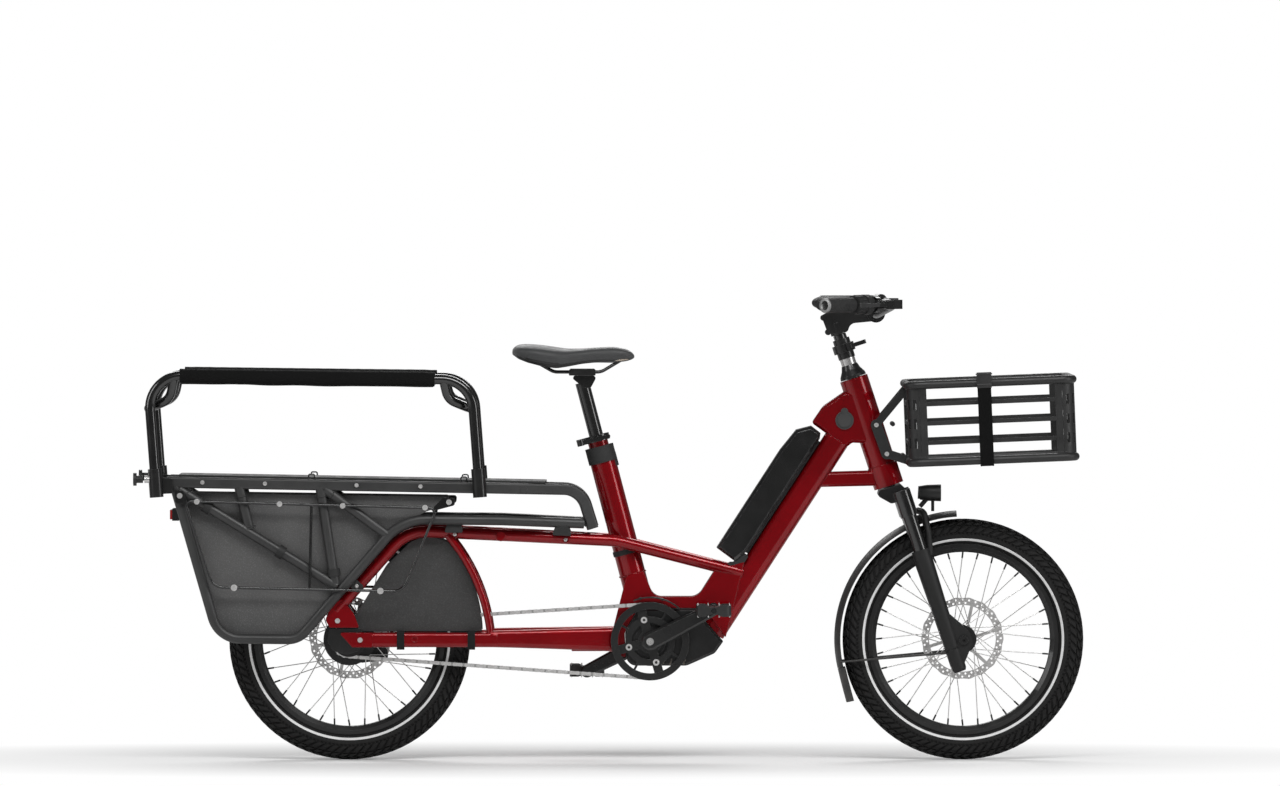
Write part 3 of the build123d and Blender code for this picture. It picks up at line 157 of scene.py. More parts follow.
def grey(value, tint=0.0):
    """Grey with a little warmth (positive tint) or coolness."""
    return (value * (1 + tint), value, value * (1 - tint), 1)


def finish(name, colour, worn, rough, metallic=0.0, coat=0.0, grain=900, depth=0.02, edge=0.9, edge_wear_and_highlight=0.5,
           dust=0.0):
    """Paint, anodising or moulded plastic: mottled colour, fine grain, rounded edges painted paler, as wear
    on most finishes and as a painted edge highlight on the battery.
    Grain depth and edge radius are in millimetres."""
    mottle = 0.2
    g = Graph(name)
    broad = g.noise(9, 4)
    fine = g.noise(grain, 2)
    sharp, rounded = g.edges(edge * MM)
    shade = g.blend(g.span(broad, 0.3, 0.7), [c * (1 - mottle) for c in colour[:3]] + [1],
                    [min(1, c * (1 + mottle)) for c in colour[:3]] + [1])
    # paler edges: wear, and on the battery a painted highlight along its edges
    patchy = g.sum("MULTIPLY", sharp, g.span(g.noise(160, 4), 0.35, 0.6))
    shade = g.blend(g.sum("MULTIPLY", patchy, edge_wear_and_highlight), shade, worn)
    if dust:
        height = g.add("ShaderNodeSeparateXYZ", Vector=g.place).outputs["Z"]
        low = g.sum("MULTIPLY", g.span(height, 0.45, 0.05, 0, dust), g.span(g.noise(35, 5), 0.4, 0.7))
        shade = g.blend(low, shade, (0.16, 0.14, 0.12, 1))
    g.set(Base_Color=shade, Metallic=metallic, Coat_Weight=coat, Coat_Roughness=0.06)
    g.set(Roughness=g.span(g.noise(28, 5), 0.3, 0.7, *rough))
    g.set(Normal=g.bump(fine, depth * MM, rounded))
    if coat:
        g.set(Coat_Normal=g.bump(g.noise(260, 1), 0.01 * MM, rounded))
    return g.material


def frame_paint():
    """Deep red gloss over fine metal flake."""
    g = Graph("frame_red")
    sharp, rounded = g.edges(2.4 * MM)
    flake = g.cells(5200)
    broad = g.noise(7, 3)
    shade = g.blend(g.span(broad, 0.3, 0.7), (0.185, 0.0008, 0.0032, 1), (0.250, 0.0013, 0.0048, 1))
    shade = g.blend(g.span(flake, 0.30, 0.05, 0, 0.25), shade, (0.42, 0.010, 0.020, 1))
    chips = g.sum("MULTIPLY", sharp, g.span(g.noise(240, 5), 0.60, 0.68))
    shade = g.blend(g.sum("MULTIPLY", chips, 0.30), shade, (0.30, 0.05, 0.05, 1))
    g.set(Base_Color=shade, Metallic=0.45, Roughness=g.span(g.noise(40, 4), 0.3, 0.7, 0.30, 0.40))
    g.set(Specular_IOR_Level=0.15, Specular_Tint=(1.0, 0.12, 0.14, 1))
    g.set(Coat_Weight=0.72, Coat_Roughness=0.045, Coat_Normal=g.bump(g.noise(170, 1), 0.05 * MM, rounded))
    g.set(Normal=g.bump(flake, 0.004 * MM, rounded))
    return g.material


def brushed(name, shade, rough, centre=None):
    """Steel with fine marks, which run round an axle when one is given."""
    g = Graph(name)
    sharp, rounded = g.edges(0.3 * MM)
    if centre is None:
        marks = g.noise(900, 2)
    else:
        ring = g.add("ShaderNodeCombineXYZ", X=g.around(centre))
        marks = g.noise(3800, 2, ring.outputs[0])
    tone = g.blend(g.span(marks, 0.3, 0.7), grey(shade * 0.72, 0.01), grey(shade, 0.01))
    tone = g.blend(g.span(g.noise(45, 4), 0.45, 0.75, 0, 0.3), tone, grey(shade * 0.5, 0.03))
    g.set(Base_Color=tone, Metallic=0.95, Roughness=g.span(marks, 0.3, 0.7, *rough))
    g.set(Normal=g.bump(marks, 0.008 * MM, rounded))
    return g.material


def rubber_tyre(name, shade):
    """Matt tyre rubber, paler where it wears."""
    g = Graph(name)
    fine, broad = g.noise(1500, 2), g.noise(22, 5)
    shade = g.blend(g.span(broad, 0.35, 0.7), grey(shade * 0.7), grey(shade * 1.2, 0.03))
    worn = g.sum("MULTIPLY", g.edges(0.6 * MM)[0], g.span(g.noise(120, 4), 0.4, 0.7))
    shade = g.blend(g.sum("MULTIPLY", worn, 0.6), shade, grey(0.050, 0.04))
    g.set(Base_Color=shade, Roughness=g.span(broad, 0.3, 0.7, 0.62, 0.82), Specular_IOR_Level=0.28)
    g.set(Normal=g.bump(fine, 0.05 * MM))
    return g.material


def reflective_stripe():
    """Pale glass-bead stripe with a faint painted glow."""
    g = Graph("reflective_stripe")
    beads = g.cells(2600)
    shade = g.blend(g.span(beads, 0.1, 0.5), grey(0.80), grey(0.60))
    shade = g.blend(g.span(g.noise(60, 4), 0.5, 0.75, 0, 0.35), shade, grey(0.38, 0.02))
    # emission gives the stripe a painted glow, though it is no lamp
    g.set(Base_Color=shade, Roughness=0.42, Normal=g.bump(beads, 0.03 * MM), Emission_Color=grey(0.8))
    g.set(Emission_Strength=0.12)
    return g.material


def speckled_panel(name, shade):
    """Dark grey board with a pale sand-like speckle."""
    g = Graph(name)
    sharp, rounded = g.edges(0.8 * MM)
    grains, broad = g.noise(1100, 2), g.noise(5, 3)
    tone = g.blend(g.span(broad, 0.3, 0.7), grey(shade * 0.9), grey(shade * 1.3, 0.01))
    tone = g.blend(g.span(grains, 0.58, 0.72, 0, 0.55), tone, grey(shade * 3.2))
    tone = g.blend(g.span(grains, 0.42, 0.30, 0, 0.6), tone, grey(shade * 0.3))
    tone = g.blend(g.span(g.noise(420, 2), 0.54, 0.68, 0, 0.6), tone, grey(shade * 2.2))
    tone = g.blend(g.sum("MULTIPLY", sharp, 0.35), tone, grey(0.12))
    g.set(Base_Color=tone, Roughness=g.span(g.noise(30, 4), 0.3, 0.7, 0.42, 0.60))
    g.set(Normal=g.bump(grains, 0.10 * MM, rounded))
    return g.material


def woven(name, shade, thread=1400, sheen=0.06):
    """Plain weave: two sets of crossing threads, with fuzz and folds in its tone."""
    g = Graph(name)
    warp, weft = g.waves(thread, "X"), g.waves(thread, "Z")
    across = g.waves(thread, "Y")
    cloth = g.sum("MULTIPLY", g.sum("MAXIMUM", warp, weft), g.sum("ADD", across, 0.6))
    fuzz = g.noise(2600, 3)
    tone = g.blend(g.span(cloth, 0.2, 1.2), grey(shade * 0.55), grey(shade * 1.4))
    tone = g.blend(g.span(g.noise(14, 4), 0.35, 0.7, 0, 0.5), tone, grey(shade * 0.8, 0.03))
    g.set(Base_Color=tone, Roughness=g.span(fuzz, 0.3, 0.7, 0.75, 0.95), Sheen_Weight=sheen)
    g.set(Specular_IOR_Level=0.18)
    g.set(Normal=g.bump(cloth, 0.12 * MM, g.bump(fuzz, 0.06 * MM)))
    return g.material


def saddle_cover():
    """Soft matt cover with a pebbled grain."""
    g = Graph("saddle_cover")
    pebbles, creases = g.cells(950), g.noise(55, 5)
    tone = g.blend(g.span(pebbles, 0.05, 0.5), grey(0.022, -0.03), grey(0.034, -0.03))
    tone = g.blend(g.span(creases, 0.5, 0.75, 0, 0.4), tone, grey(0.042))
    g.set(Base_Color=tone, Roughness=g.span(creases, 0.3, 0.7, 0.42, 0.62), Sheen_Weight=0.25)
    g.set(Normal=g.bump(pebbles, 0.10 * MM, g.bump(creases, 0.3 * MM)))
    return g.material


def grip_rubber():
    """Soft rubber with a fine diamond pattern."""
    g = Graph("grip_rubber")
    diamond = g.sum("MULTIPLY", g.waves(260, "DIAGONAL"), g.waves(260, "X"))
    tone = g.blend(g.span(diamond, 0.1, 0.9), grey(0.010), grey(0.022))
    g.set(Base_Color=tone, Roughness=g.span(g.noise(70, 4), 0.3, 0.7, 0.55, 0.75))
    g.set(Normal=g.bump(diamond, 0.18 * MM, g.bump(g.noise(1500, 2), 0.03 * MM)))
    return g.material


def lens(name, colour, ribs=320, glow=0.0):
    """Moulded lamp lens with upright ribs."""
    g = Graph(name)
    prisms = g.waves(ribs, "Y")
    deep = [c * 0.45 for c in colour[:3]] + [1]
    g.set(Base_Color=g.blend(prisms, deep, colour), Roughness=g.span(g.noise(50, 3), 0.3, 0.7, 0.05, 0.14))
    g.set(Coat_Weight=1.0, Normal=g.bump(prisms, 0.4 * MM), Emission_Color=colour, Emission_Strength=glow)
    return g.material


BLACK_METAL = finish("black_metal", grey(0.010), grey(0.20), (0.26, 0.42), metallic=0.25, coat=0.3,
                     depth=0.01)
DRIVE_BLACK = finish("drive_black", grey(0.022), grey(0.30), (0.24, 0.38), metallic=0.5, coat=0.3, edge_wear_and_highlight=0.9)
WIRE_BLACK = finish("wire_black", grey(0.004), grey(0.16), (0.16, 0.26), coat=0.8, depth=0.006, edge_wear_and_highlight=0.3)
GLOSS_BLACK = finish("gloss_black", grey(0.006), grey(0.10), (0.16, 0.28), metallic=0.1, coat=0.9,
                     depth=0.006)
MATT_BLACK = finish("matt_black", grey(0.0015), grey(0.07), (0.50, 0.62), depth=0.03, edge_wear_and_highlight=0.3)
RACK_BLACK = finish("rack_black", grey(0.040), grey(0.16), (0.34, 0.50), metallic=0.2, grain=1300, depth=0.05)
BASKET_BLACK = finish("basket_black", grey(0.012), grey(0.13), (0.40, 0.56), grain=1300, depth=0.06)
PLASTIC = finish("black_plastic", grey(0.014), grey(0.07), (0.40, 0.58), grain=1500, depth=0.05, dust=0.10)
GUARD_PLASTIC = finish("mudguard_plastic", grey(0.020), grey(0.08), (0.36, 0.54), grain=1200, depth=0.04,
                       dust=0.25)
# the battery's pale, strongly worn edges are a painted highlight along its edges
BATTERY = finish("battery_black", grey(0.006), grey(0.22), (0.16, 0.28), coat=0.7, grain=1200, depth=0.02,
                 edge=1.6, edge_wear_and_highlight=0.8)
MOTOR = finish("motor_black", grey(0.020), grey(0.25), (0.28, 0.44), metallic=0.45, grain=1600, depth=0.05,
               edge=1.3, edge_wear_and_highlight=0.8)
SOFT_BLACK = finish("soft_black", grey(0.013), grey(0.05), (0.55, 0.75), grain=1000, depth=0.06)
RING_GREY = finish("ring_grey", grey(0.30), grey(0.50), (0.30, 0.42), metallic=0.6, grain=900, depth=0.01)
PORT_GREY = finish("port_grey", grey(0.05), grey(0.20), (0.35, 0.50), grain=900, depth=0.03)
FRAME_RED = frame_paint()
STEEL = brushed("steel", 0.72, (0.24, 0.40))
CHAIN_BRIGHT = brushed("chain_bright", 0.88, (0.30, 0.46))
CHAIN_DARK = brushed("chain_dark", 0.58, (0.30, 0.46))
BRIGHT = brushed("bright_screw", 0.92, (0.30, 0.45))
TYRE = rubber_tyre("tyre_rubber", 0.0095)
# darker copy of the tyre rubber for the casing between the tread blocks: painted shade in the grooves
GROOVE_SHADE = rubber_tyre("tyre_groove_shade", 0.005)
STRIPE = reflective_stripe()
PANEL = speckled_panel("panel_grey", 0.068)
SKIRT = speckled_panel("skirt_grey", 0.030)
SLEEVE_CLOTH = woven("sleeve_cloth", 0.0025, sheen=0.03)
WEBBING = woven("strap_webbing", 0.0015, thread=700, sheen=0.0)
HOOK_STRAP = woven("hook_and_loop", 0.010, thread=900, sheen=0.10)
COVER = saddle_cover()
GRIP = grip_rubber()
RED_LENS = lens("red_lens", (0.42, 0.012, 0.010, 1), glow=0.1)
CLEAR_LENS = lens("clear_lens", (0.62, 0.64, 0.66, 1), ribs=420, glow=0.15)
PALE_STRIP = lens("pale_strip", (0.55, 0.47, 0.38, 1), ribs=500)

FINISHES = {
    "main_frame": FRAME_RED, "dropout_plates": GLOSS_BLACK, "headset_bearings": STEEL,
    "battery_dock": PLASTIC, "battery": BATTERY, "port_cover": PORT_GREY, "motor_unit": MOTOR,
    "chainring": DRIVE_BLACK, "crankset": DRIVE_BLACK, "pedal_right": PLASTIC, "pedal_left": PLASTIC,
    "rear_sprocket": BLACK_METAL,
    "seat_clamp": SOFT_BLACK, "seat_clamp_lever": GLOSS_BLACK, "seatpost": GLOSS_BLACK,
    "saddle_rails": BLACK_METAL, "rear_rim": BLACK_METAL, "rear_spokes": STEEL, "rear_hub": BLACK_METAL,
    "rear_disc": brushed("rear_disc_steel", 0.80, (0.28, 0.44), REAR_AXLE), "rear_caliper": BLACK_METAL,
    "rear_mudguard": GUARD_PLASTIC, "front_rim": BLACK_METAL, "front_spokes": STEEL, "front_hub": BLACK_METAL,
    "front_disc": brushed("front_disc_steel", 0.80, (0.28, 0.44), FRONT_AXLE), "front_axle": BLACK_METAL,
    "front_caliper": BLACK_METAL, "front_mudguard": GUARD_PLASTIC, "fork_crown": GLOSS_BLACK,
    "fork_lowers": MATT_BLACK, "headlight": PLASTIC, "stem_column": BLACK_METAL, "stem_lever": GLOSS_BLACK,
    "stem": BLACK_METAL, "handlebar": BLACK_METAL, "control_mounts": BLACK_METAL, "twist_shifter": GRIP,
    "brake_lever_left": BLACK_METAL, "brake_lever_right": BLACK_METAL, "remote_button": PORT_GREY,
    "rack_frame": RACK_BLACK, "rack_clamps": SOFT_BLACK, "rack_deck": RACK_BLACK, "side_panels": PANEL,
    "wire_rails": WIRE_BLACK, "rear_light": PLASTIC, "hoop_bar": GLOSS_BLACK, "bar_sockets": BLACK_METAL,
    "release_knobs": PLASTIC, "basket": BASKET_BLACK, "basket_bracket": BASKET_BLACK, "screws": BRIGHT,
}


def paint(node, material):
    """Gives a CAD node one material."""
    mesh = frame["nodes"][node].data
    mesh.materials.clear()
    mesh.materials.append(material)
    mesh.polygons.foreach_set("material_index", [0] * len(mesh.polygons))


def paint_where(node, material, inside):
    """Gives another material to the faces of a CAD node whose middles pass a test."""
    mesh = frame["nodes"][node].data
    mesh.materials.append(material)
    index = len(mesh.materials) - 1
    for face in mesh.polygons:
        if inside(face.center):
            face.material_index = index


def off_axle(point, axle):
    return math.hypot(point.x - axle.x, point.z - axle.z)


def paint_nodes():
    """Materials of the CAD nodes that stay, with smaller pieces inside a node picked out."""
    for node, material in FINISHES.items():
        paint(node, material)
    for wheel, axle in (("front", FRONT_AXLE), ("rear", REAR_AXLE)):
        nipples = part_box(wheel + "_spokes")[1].z - axle.z - 13.5 * MM
        paint_where(wheel + "_spokes", BLACK_METAL, lambda p, a=axle, r=nipples: off_axle(p, a) > r)
    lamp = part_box("headlight")[1]
    lamp_z = lamp.z - 18.5 * MM
    lens_radius = 15.92 * MM
    light_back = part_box("rear_light")[0].x
    knobs_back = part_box("release_knobs")[0].x
    picked = (
        ("headlight", CLEAR_LENS,
         lambda p: p.x > lamp.x - 5.5 * MM and math.hypot(p.y, p.z - lamp_z) < lens_radius),
        ("rear_light", RED_LENS, lambda p: p.x < light_back + 5.2 * MM),
        # bolts, inside the guard ring
        ("chainring", BRIGHT, lambda p: p.y < CHAIN_Y - 3 * MM and off_axle(p, CRANK) < 66 * MM),
        # inner panels beside the rear wheel
        ("side_panels", SKIRT, lambda p: abs(p.y) < 70 * MM),
        # ends of the rear axle and of the crank spindle
        ("dropout_plates", STEEL, lambda p: off_axle(p, REAR_AXLE) < 10.5 * MM and abs(p.y) > 80.4 * MM),
        ("crankset", STEEL, lambda p: off_axle(p, CRANK) < 8.2 * MM),
        # ring of the charging port
        ("battery_dock", PORT_GREY, lambda p: p.z > 0.70 and p.y < -27 * MM),
        # plungers behind the knobs, and the bare ring of the stem column
        ("bar_sockets", STEEL, lambda p: p.x < knobs_back + 36 * MM),
        ("stem_column", STEEL, lambda p: abs(local_height(p) - 38.5 * MM) < 7.6 * MM),
        # the clamp itself, above the rubber collar
        ("seat_clamp", GLOSS_BLACK, lambda p: p.z > 0.69),
        # hook-and-loop straps round the chain stays
        ("rack_clamps", HOOK_STRAP, lambda p: p.z < 0.30),
        ("motor_unit", PALE_STRIP, lambda p: abs(p.y + 39 * MM) < 0.3 * MM and 0.203 < p.z < 0.224),
    )
    for node, material, inside in picked:
        paint_where(node, material, inside)


def local_height(point):
    """Height of a point up the steering axis from the top of the head tube."""
    return (Vector(point) - Vector(JOINTS["steering"]["pos_m"])).dot(STEER_AXIS)


# ---------- mesh helpers
def piece(name, shell, material, body, replaces=()):
    """New smooth piece from a shell in the row frame, on its CAD body."""
    mesh = bpy.data.meshes.new(name)
    mesh.from_pydata(shell.points, [], shell.faces)
    mesh.materials.append(material)
    mesh.polygons.foreach_set("use_smooth", [True] * len(mesh.polygons))
    mesh.validate()
    mesh.update()
    obj = bpy.data.objects.new(name, mesh)
    bpy.context.scene.collection.objects.link(obj)
    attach(obj, body)
    if replaces:
        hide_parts(*replaces)
    return obj


class Shell:
    """Points and faces gathered from several small forms into one mesh."""

    def __init__(self):
        self.points, self.faces = [], []

    def add(self, points, faces):
        start = len(self.points)
        self.points += [tuple(p) for p in points]
        self.faces += [tuple(start + i for i in face) for face in faces]

    def grid(self, rings, closed_along=False):
        """Skin over rings of equally many points; each ring is closed, and open ends get caps."""
        count, size = len(rings), len(rings[0])
        faces = []
        for i in range(count if closed_along else count - 1):
            j = (i + 1) % count
            for k in range(size):
                m = (k + 1) % size
                faces.append((i * size + k, i * size + m, j * size + m, j * size + k))
        if not closed_along:
            faces.append(tuple(reversed(range(size))))
            faces.append(tuple((count - 1) * size + k for k in range(size)))
        self.add([p for ring in rings for p in ring], faces)


def turns(count):
    """Evenly spaced angles round a full turn."""
    return np.arange(count) * TURN / count


def shares(count):
    """Evenly spaced shares of a length, both ends included."""
    return np.linspace(0, 1, count)


def circle(centre, across, up, radius, count):
    return [centre + (across * math.cos(a) + up * math.sin(a)) * radius for a in turns(count)]


def smooth_table(table, steps):
    """Values at evenly spaced x over a table of (x, value, ...) rows, eased between the rows."""
    table = np.array(table, float)
    xs = np.linspace(table[0, 0], table[-1, 0], steps)
    dense = np.interp(np.linspace(0, 1, 12 * len(table)), np.linspace(0, 1, len(table)), table[:, 0])
    columns = [xs]
    for k in range(1, table.shape[1]):
        curve = np.interp(dense, table[:, 0], table[:, k])
        for _ in range(12):
            curve[1:-1] = (curve[:-2] + 2 * curve[1:-1] + curve[2:]) / 4
        columns.append(np.interp(xs, dense, curve))
    return np.column_stack(columns)


def wheel_point(axle, y, radius, angle):
    return (axle.x + radius * math.cos(angle), y, axle.z + radius * math.sin(angle))


# ---------- tyres
# (radius, half width) up the sidewall; with these, radii of the stripe and of the ribs, in metres
SIDEWALL = np.array([(0.2040, 0.0142), (0.2092, 0.0144), (0.2105, 0.0170), (0.2145, 0.0218), (0.2190, 0.0254),
                     (0.2245, 0.0272), (0.2290, 0.0274)])
TYRE_STEPS = 216
PITCHES = 84
STRIPE_LOW = 0.2150
RIB_LOW, RIB_HIGH = 0.2262, 0.2345


def sidewall_y(radius):
    return float(np.interp(radius, SIDEWALL[:, 0], SIDEWALL[:, 1]))


def casing_profile(crown_centre, casing):
    """(y, radius) points of the casing: up one sidewall, over the crown, down the other and back inside."""
    side = [(y, r) for r, y in SIDEWALL]
    crown = [(casing * math.sin(angle), crown_centre + casing * math.cos(angle))
             for angle in np.radians(np.arange(96, -97, -8))]
    outer = side + crown + [(-y, r) for y, r in reversed(side)]
    inner = [(-0.0105, 0.2050), (-0.0105, 0.2110), (-0.0235, 0.2250), (-0.0255, 0.2330)]
    return outer + inner + [(0, 0.2585)] + [(-y, r) for y, r in reversed(inner)]


def tread_block(shell, axle, crown, row, start):
    """One tread block over a stretch of the crown's section, leaning round the wheel."""
    low, high, skew, width, base, top = row
    rings = []
    for lift, shrink in ((base, 0), (top - 0.4 * MM, 0.056), (top, 0.14)):
        ring = []
        edge = (high - low) * shrink
        for share, across in ((0, shrink), (0.5, shrink), (1, shrink),
                              (1, 1 - shrink), (0.5, 1 - shrink), (0, 1 - shrink)):
            phi = math.radians(low + edge + (high - low - 2 * edge) * share)
            theta = start + skew * share + width * across
            ring.append(wheel_point(axle, lift * math.sin(phi), crown + lift * math.cos(phi), theta))
        rings.append(ring)
    faces = []
    for level in (0, 1):
        for k in range(6):
            m = (k + 1) % 6
            faces.append((level * 6 + k, level * 6 + m, (level + 1) * 6 + m, (level + 1) * 6 + k))
    faces += [(12, 13, 16, 17), (13, 14, 15, 16)]
    shell.add([p for ring in rings for p in ring], faces)


def tyre(wheel, axle):
    """Tyre with its casing, moulded tread and reflective stripes."""
    low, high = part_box(wheel + "_tyre")
    half = (high.y - low.y) / 2
    crown = (high.z - low.z) / 2 - half
    shell = Shell()
    profile = casing_profile(crown, half - 4.0 * MM)
    rings = [[wheel_point(axle, y, r, a) for y, r in profile] for a in turns(TYRE_STEPS)]
    shell.grid(rings, closed_along=True)
    pitch = TURN / PITCHES
    base = half - 4.6 * MM
    for side in (-1, 1):
        # from and to (degrees off the crown), lean and width (share of a pitch), height
        rows = ((2, 15, 0.34, 0.66, half), (18, 33, -0.30, 0.64, half), (36, 54, 0.50, 0.60, half - 0.1 * MM),
                (58, 88, 0.80, 0.64, half - 0.2 * MM))
        for index, (inner, outer, skew, width, top) in enumerate(rows):
            row = (side * inner, side * outer, skew * pitch, width * pitch, base, top)
            for k in range(PITCHES):
                tread_block(shell, axle, crown, row, (k + 0.5 * (index % 2) + 0.25 * side) * pitch)
        for k in range(2 * PITCHES):
            sidewall_rib(shell, axle, side, (k + 0.2) * pitch / 2)
    tread = piece(wheel + "_tyre_rubber", shell, TYRE, wheel + "_wheel", [wheel + "_tyre"])
    flat_shade_sharp(tread, 32)
    # the casing between the blocks takes the darker rubber: painted shade in the grooves
    tread.data.materials.append(GROOVE_SHADE)
    groove_top = base + 0.9 * MM
    for face in tread.data.polygons:
        off = math.hypot(off_axle(face.center, axle) - crown, face.center.y)
        if off < groove_top and off_axle(face.center, axle) > crown - 2 * MM:
            face.material_index = 1
    stripes = Shell()
    section = [(STRIPE_LOW + at * MM, 0.4 * MM) for at in (0, 0.8, 2.6, 4.4, 5.2)]
    section += [(section[-1][0], -0.4 * MM), (section[0][0], -0.4 * MM)]
    for side in (-1, 1):
        stripes.grid([[wheel_point(axle, side * (sidewall_y(r) + proud), r, a) for r, proud in section]
                      for a in turns(TYRE_STEPS)], closed_along=True)
    piece(wheel + "_tyre_stripe", stripes, STRIPE, wheel + "_wheel")


def sidewall_rib(shell, axle, side, start):
    """Short raised rib on the sidewall, below the tread."""
    lean, width = 0.010, 0.012
    corners = []
    for lift in (-0.6 * MM, 0.55 * MM):
        for r, shift in ((RIB_LOW, 0), (RIB_HIGH, lean), (RIB_HIGH, lean + width), (RIB_LOW, width)):
            corners.append(wheel_point(axle, side * (sidewall_y(min(r, 0.233)) + lift), r, start + shift))
    shell.add(corners, [(4, 5, 6, 7), (0, 1, 5, 4), (1, 2, 6, 5), (2, 3, 7, 6), (3, 0, 4, 7)])


def flat_shade_sharp(obj, degrees):
    """Smooth shading that breaks at edges sharper than an angle, and normals that face outward."""
    work = bmesh.new()
    work.from_mesh(obj.data)
    bmesh.ops.recalc_face_normals(work, faces=work.faces)
    limit = math.radians(degrees)
    for edge in work.edges:
        edge.smooth = len(edge.link_faces) == 2 and edge.calc_face_angle(0) < limit
    work.to_mesh(obj.data)
    work.free()


# ---------- chain
CHAIN_PITCH = 12.7 * MM
BIG, SMALL = 40 * CHAIN_PITCH / TURN, 18 * CHAIN_PITCH / TURN       # pitch radii, from the teeth


def chain_path():
    """Points (x, z) of the loop round both sprockets, one at each pin; their number is even."""
    across = REAR_AXLE.xz - CRANK.xz
    heading = math.atan2(across.y, across.x)
    lean = math.asin((BIG - SMALL) / across.length)
    run = across.length * math.cos(lean)
    front_arc, rear_arc = (math.pi + 2 * lean) * BIG, (math.pi - 2 * lean) * SMALL
    high, low = heading + (math.pi / 2 - lean), heading - (math.pi / 2 - lean)
    total = 2 * run + front_arc + rear_arc
    links = 2 * round(total / CHAIN_PITCH / 2)

    def rim(centre, radius, angle):
        return Vector((centre.x + radius * math.cos(angle), centre.z + radius * math.sin(angle)))

    def at(distance):
        if distance < front_arc:
            return rim(CRANK, BIG, high + distance / BIG)
        distance -= front_arc
        if distance < run:
            return rim(CRANK, BIG, low).lerp(rim(REAR_AXLE, SMALL, low), distance / run)
        distance -= run
        if distance < rear_arc:
            return rim(REAR_AXLE, SMALL, low + distance / SMALL)
        return rim(REAR_AXLE, SMALL, high).lerp(rim(CRANK, BIG, high), (distance - rear_arc) / run)

    return [at(total * k / links) for k in range(links)]


def link_plate(shell, start, end, y, thick):
    """Figure-eight side plate between two pins."""
    along = (end - start).normalized()
    up = Vector((-along.y, along.x))
    ends, waist = 4.7 * MM, 3.5 * MM
    outline = []
    for centre, first, side in ((end, -60, 1), (start, 120, -1)):
        for step in range(6):
            angle = math.radians(first + 24 * step)
            outline.append(centre + along * ends * math.cos(angle) + up * ends * math.sin(angle))
        outline.append((start + end) / 2 + up * waist * side)
    shell.grid([[(p.x, level, p.y) for p in outline] for level in (y - thick / 2, y + thick / 2)])


def pin(shell, point, radius, half_length):
    ends = (Vector((point.x, CHAIN_Y + side * half_length, point.y)) for side in (-1, 1))
    shell.grid([circle(end, Vector((1, 0, 0)), Vector((0, 0, 1)), radius, 12) for end in ends])


def chain():
    """Roller chain, link by link."""
    pins = chain_path()
    outer, inner = Shell(), Shell()
    for k, start in enumerate(pins):
        end = pins[(k + 1) % len(pins)]
        offset = (3.35 if k % 2 else 2.4) * MM
        for side in (-1, 1):
            link_plate(outer if k % 2 else inner, start, end, CHAIN_Y + side * offset, 0.85 * MM)
        pin(outer, start, 1.7 * MM, 3.9 * MM)
        # rollers only where no tooth is between the plates
        off_teeth = min(math.dist(start, CRANK.xz) - BIG, math.dist(start, REAR_AXLE.xz) - SMALL)
        if off_teeth > 3.8 * MM:
            pin(inner, start, 3.2 * MM, 1.95 * MM)
    links = piece("chain_outer_links", outer, CHAIN_BRIGHT, "frame", ["chain"])
    rollers = piece("chain_inner_links", inner, CHAIN_DARK, "frame")
    flat_shade_sharp(links, 40)
    flat_shade_sharp(rollers, 40)


# ---------- saddle
SADDLE_STATIONS = (
    # x, half width, top, bottom (millimetres from the saddle box's rear end, centre and the ground)
    (0, 20, 894, 884), (5, 40, 901, 881), (14, 60, 906, 874), (34, 77, 907.5, 866), (64, 81, 905.5, 858),
    (96, 74, 901, 853), (122, 58, 897.5, 857), (152, 43, 898, 863), (182, 33, 900, 866), (222, 25, 901, 865),
    (250, 19, 896, 869), (262, 13, 889, 873), (267, 5, 882, 877),
)


def saddle():
    """Padded saddle with a shallow channel, a hollow underside and a trim line above the shell."""
    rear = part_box("saddle")[0].x
    stations = smooth_table(SADDLE_STATIONS, 72)
    rings = []
    for x, half, top, bottom in stations:
        split = (top + bottom) / 2
        ring = []
        for angle in turns(56):
            c, s = math.cos(angle), math.sin(angle)
            y = half * math.copysign(abs(c) ** 0.80, c)
            if s >= 0:
                z = split + (top - split) * s ** 0.72
                channel = math.exp(-(y / 11) ** 2) * math.exp(-((x - 110) / 70) ** 4)
                z -= 3.2 * channel * s
            else:
                skirt = min(1.0, -s * 1.7)
                y = half * math.copysign(min(1.0, abs(c) ** 0.45), c) * (1 - 0.10 * skirt)
                hollow = max(0.0, (-s - 0.62) / 0.38) ** 0.6
                z = split - (split - bottom) * (skirt ** 0.8 - 0.45 * hollow)
            ring.append((rear + x * MM, y * MM, z * MM))
        rings.append(ring)
    shell = Shell()
    shell.grid(rings)
    cover = piece("saddle_cover", shell, COVER, "seatpost", ["saddle"])
    cover.data.materials.append(PLASTIC)
    for face in cover.data.polygons:
        if face.normal.z < -0.45:
            face.material_index = 1
    flat_shade_sharp(cover, 50)
    add_subdivision(cover)
    trim_line(rings)
    pale_marks(rear)


def trim_line(rings):
    """Piping where the cover meets the shell, along both sides."""
    shell = Shell()
    left = [Vector(ring[-3]) for ring in rings[3:-3]]
    right = [Vector(ring[len(ring) // 2 + 3]) for ring in reversed(rings[3:-3])]
    for line in (left, right):
        tube_along(shell, line, 1.1 * MM)
    piece("saddle_piping", shell, SOFT_BLACK, "seatpost")


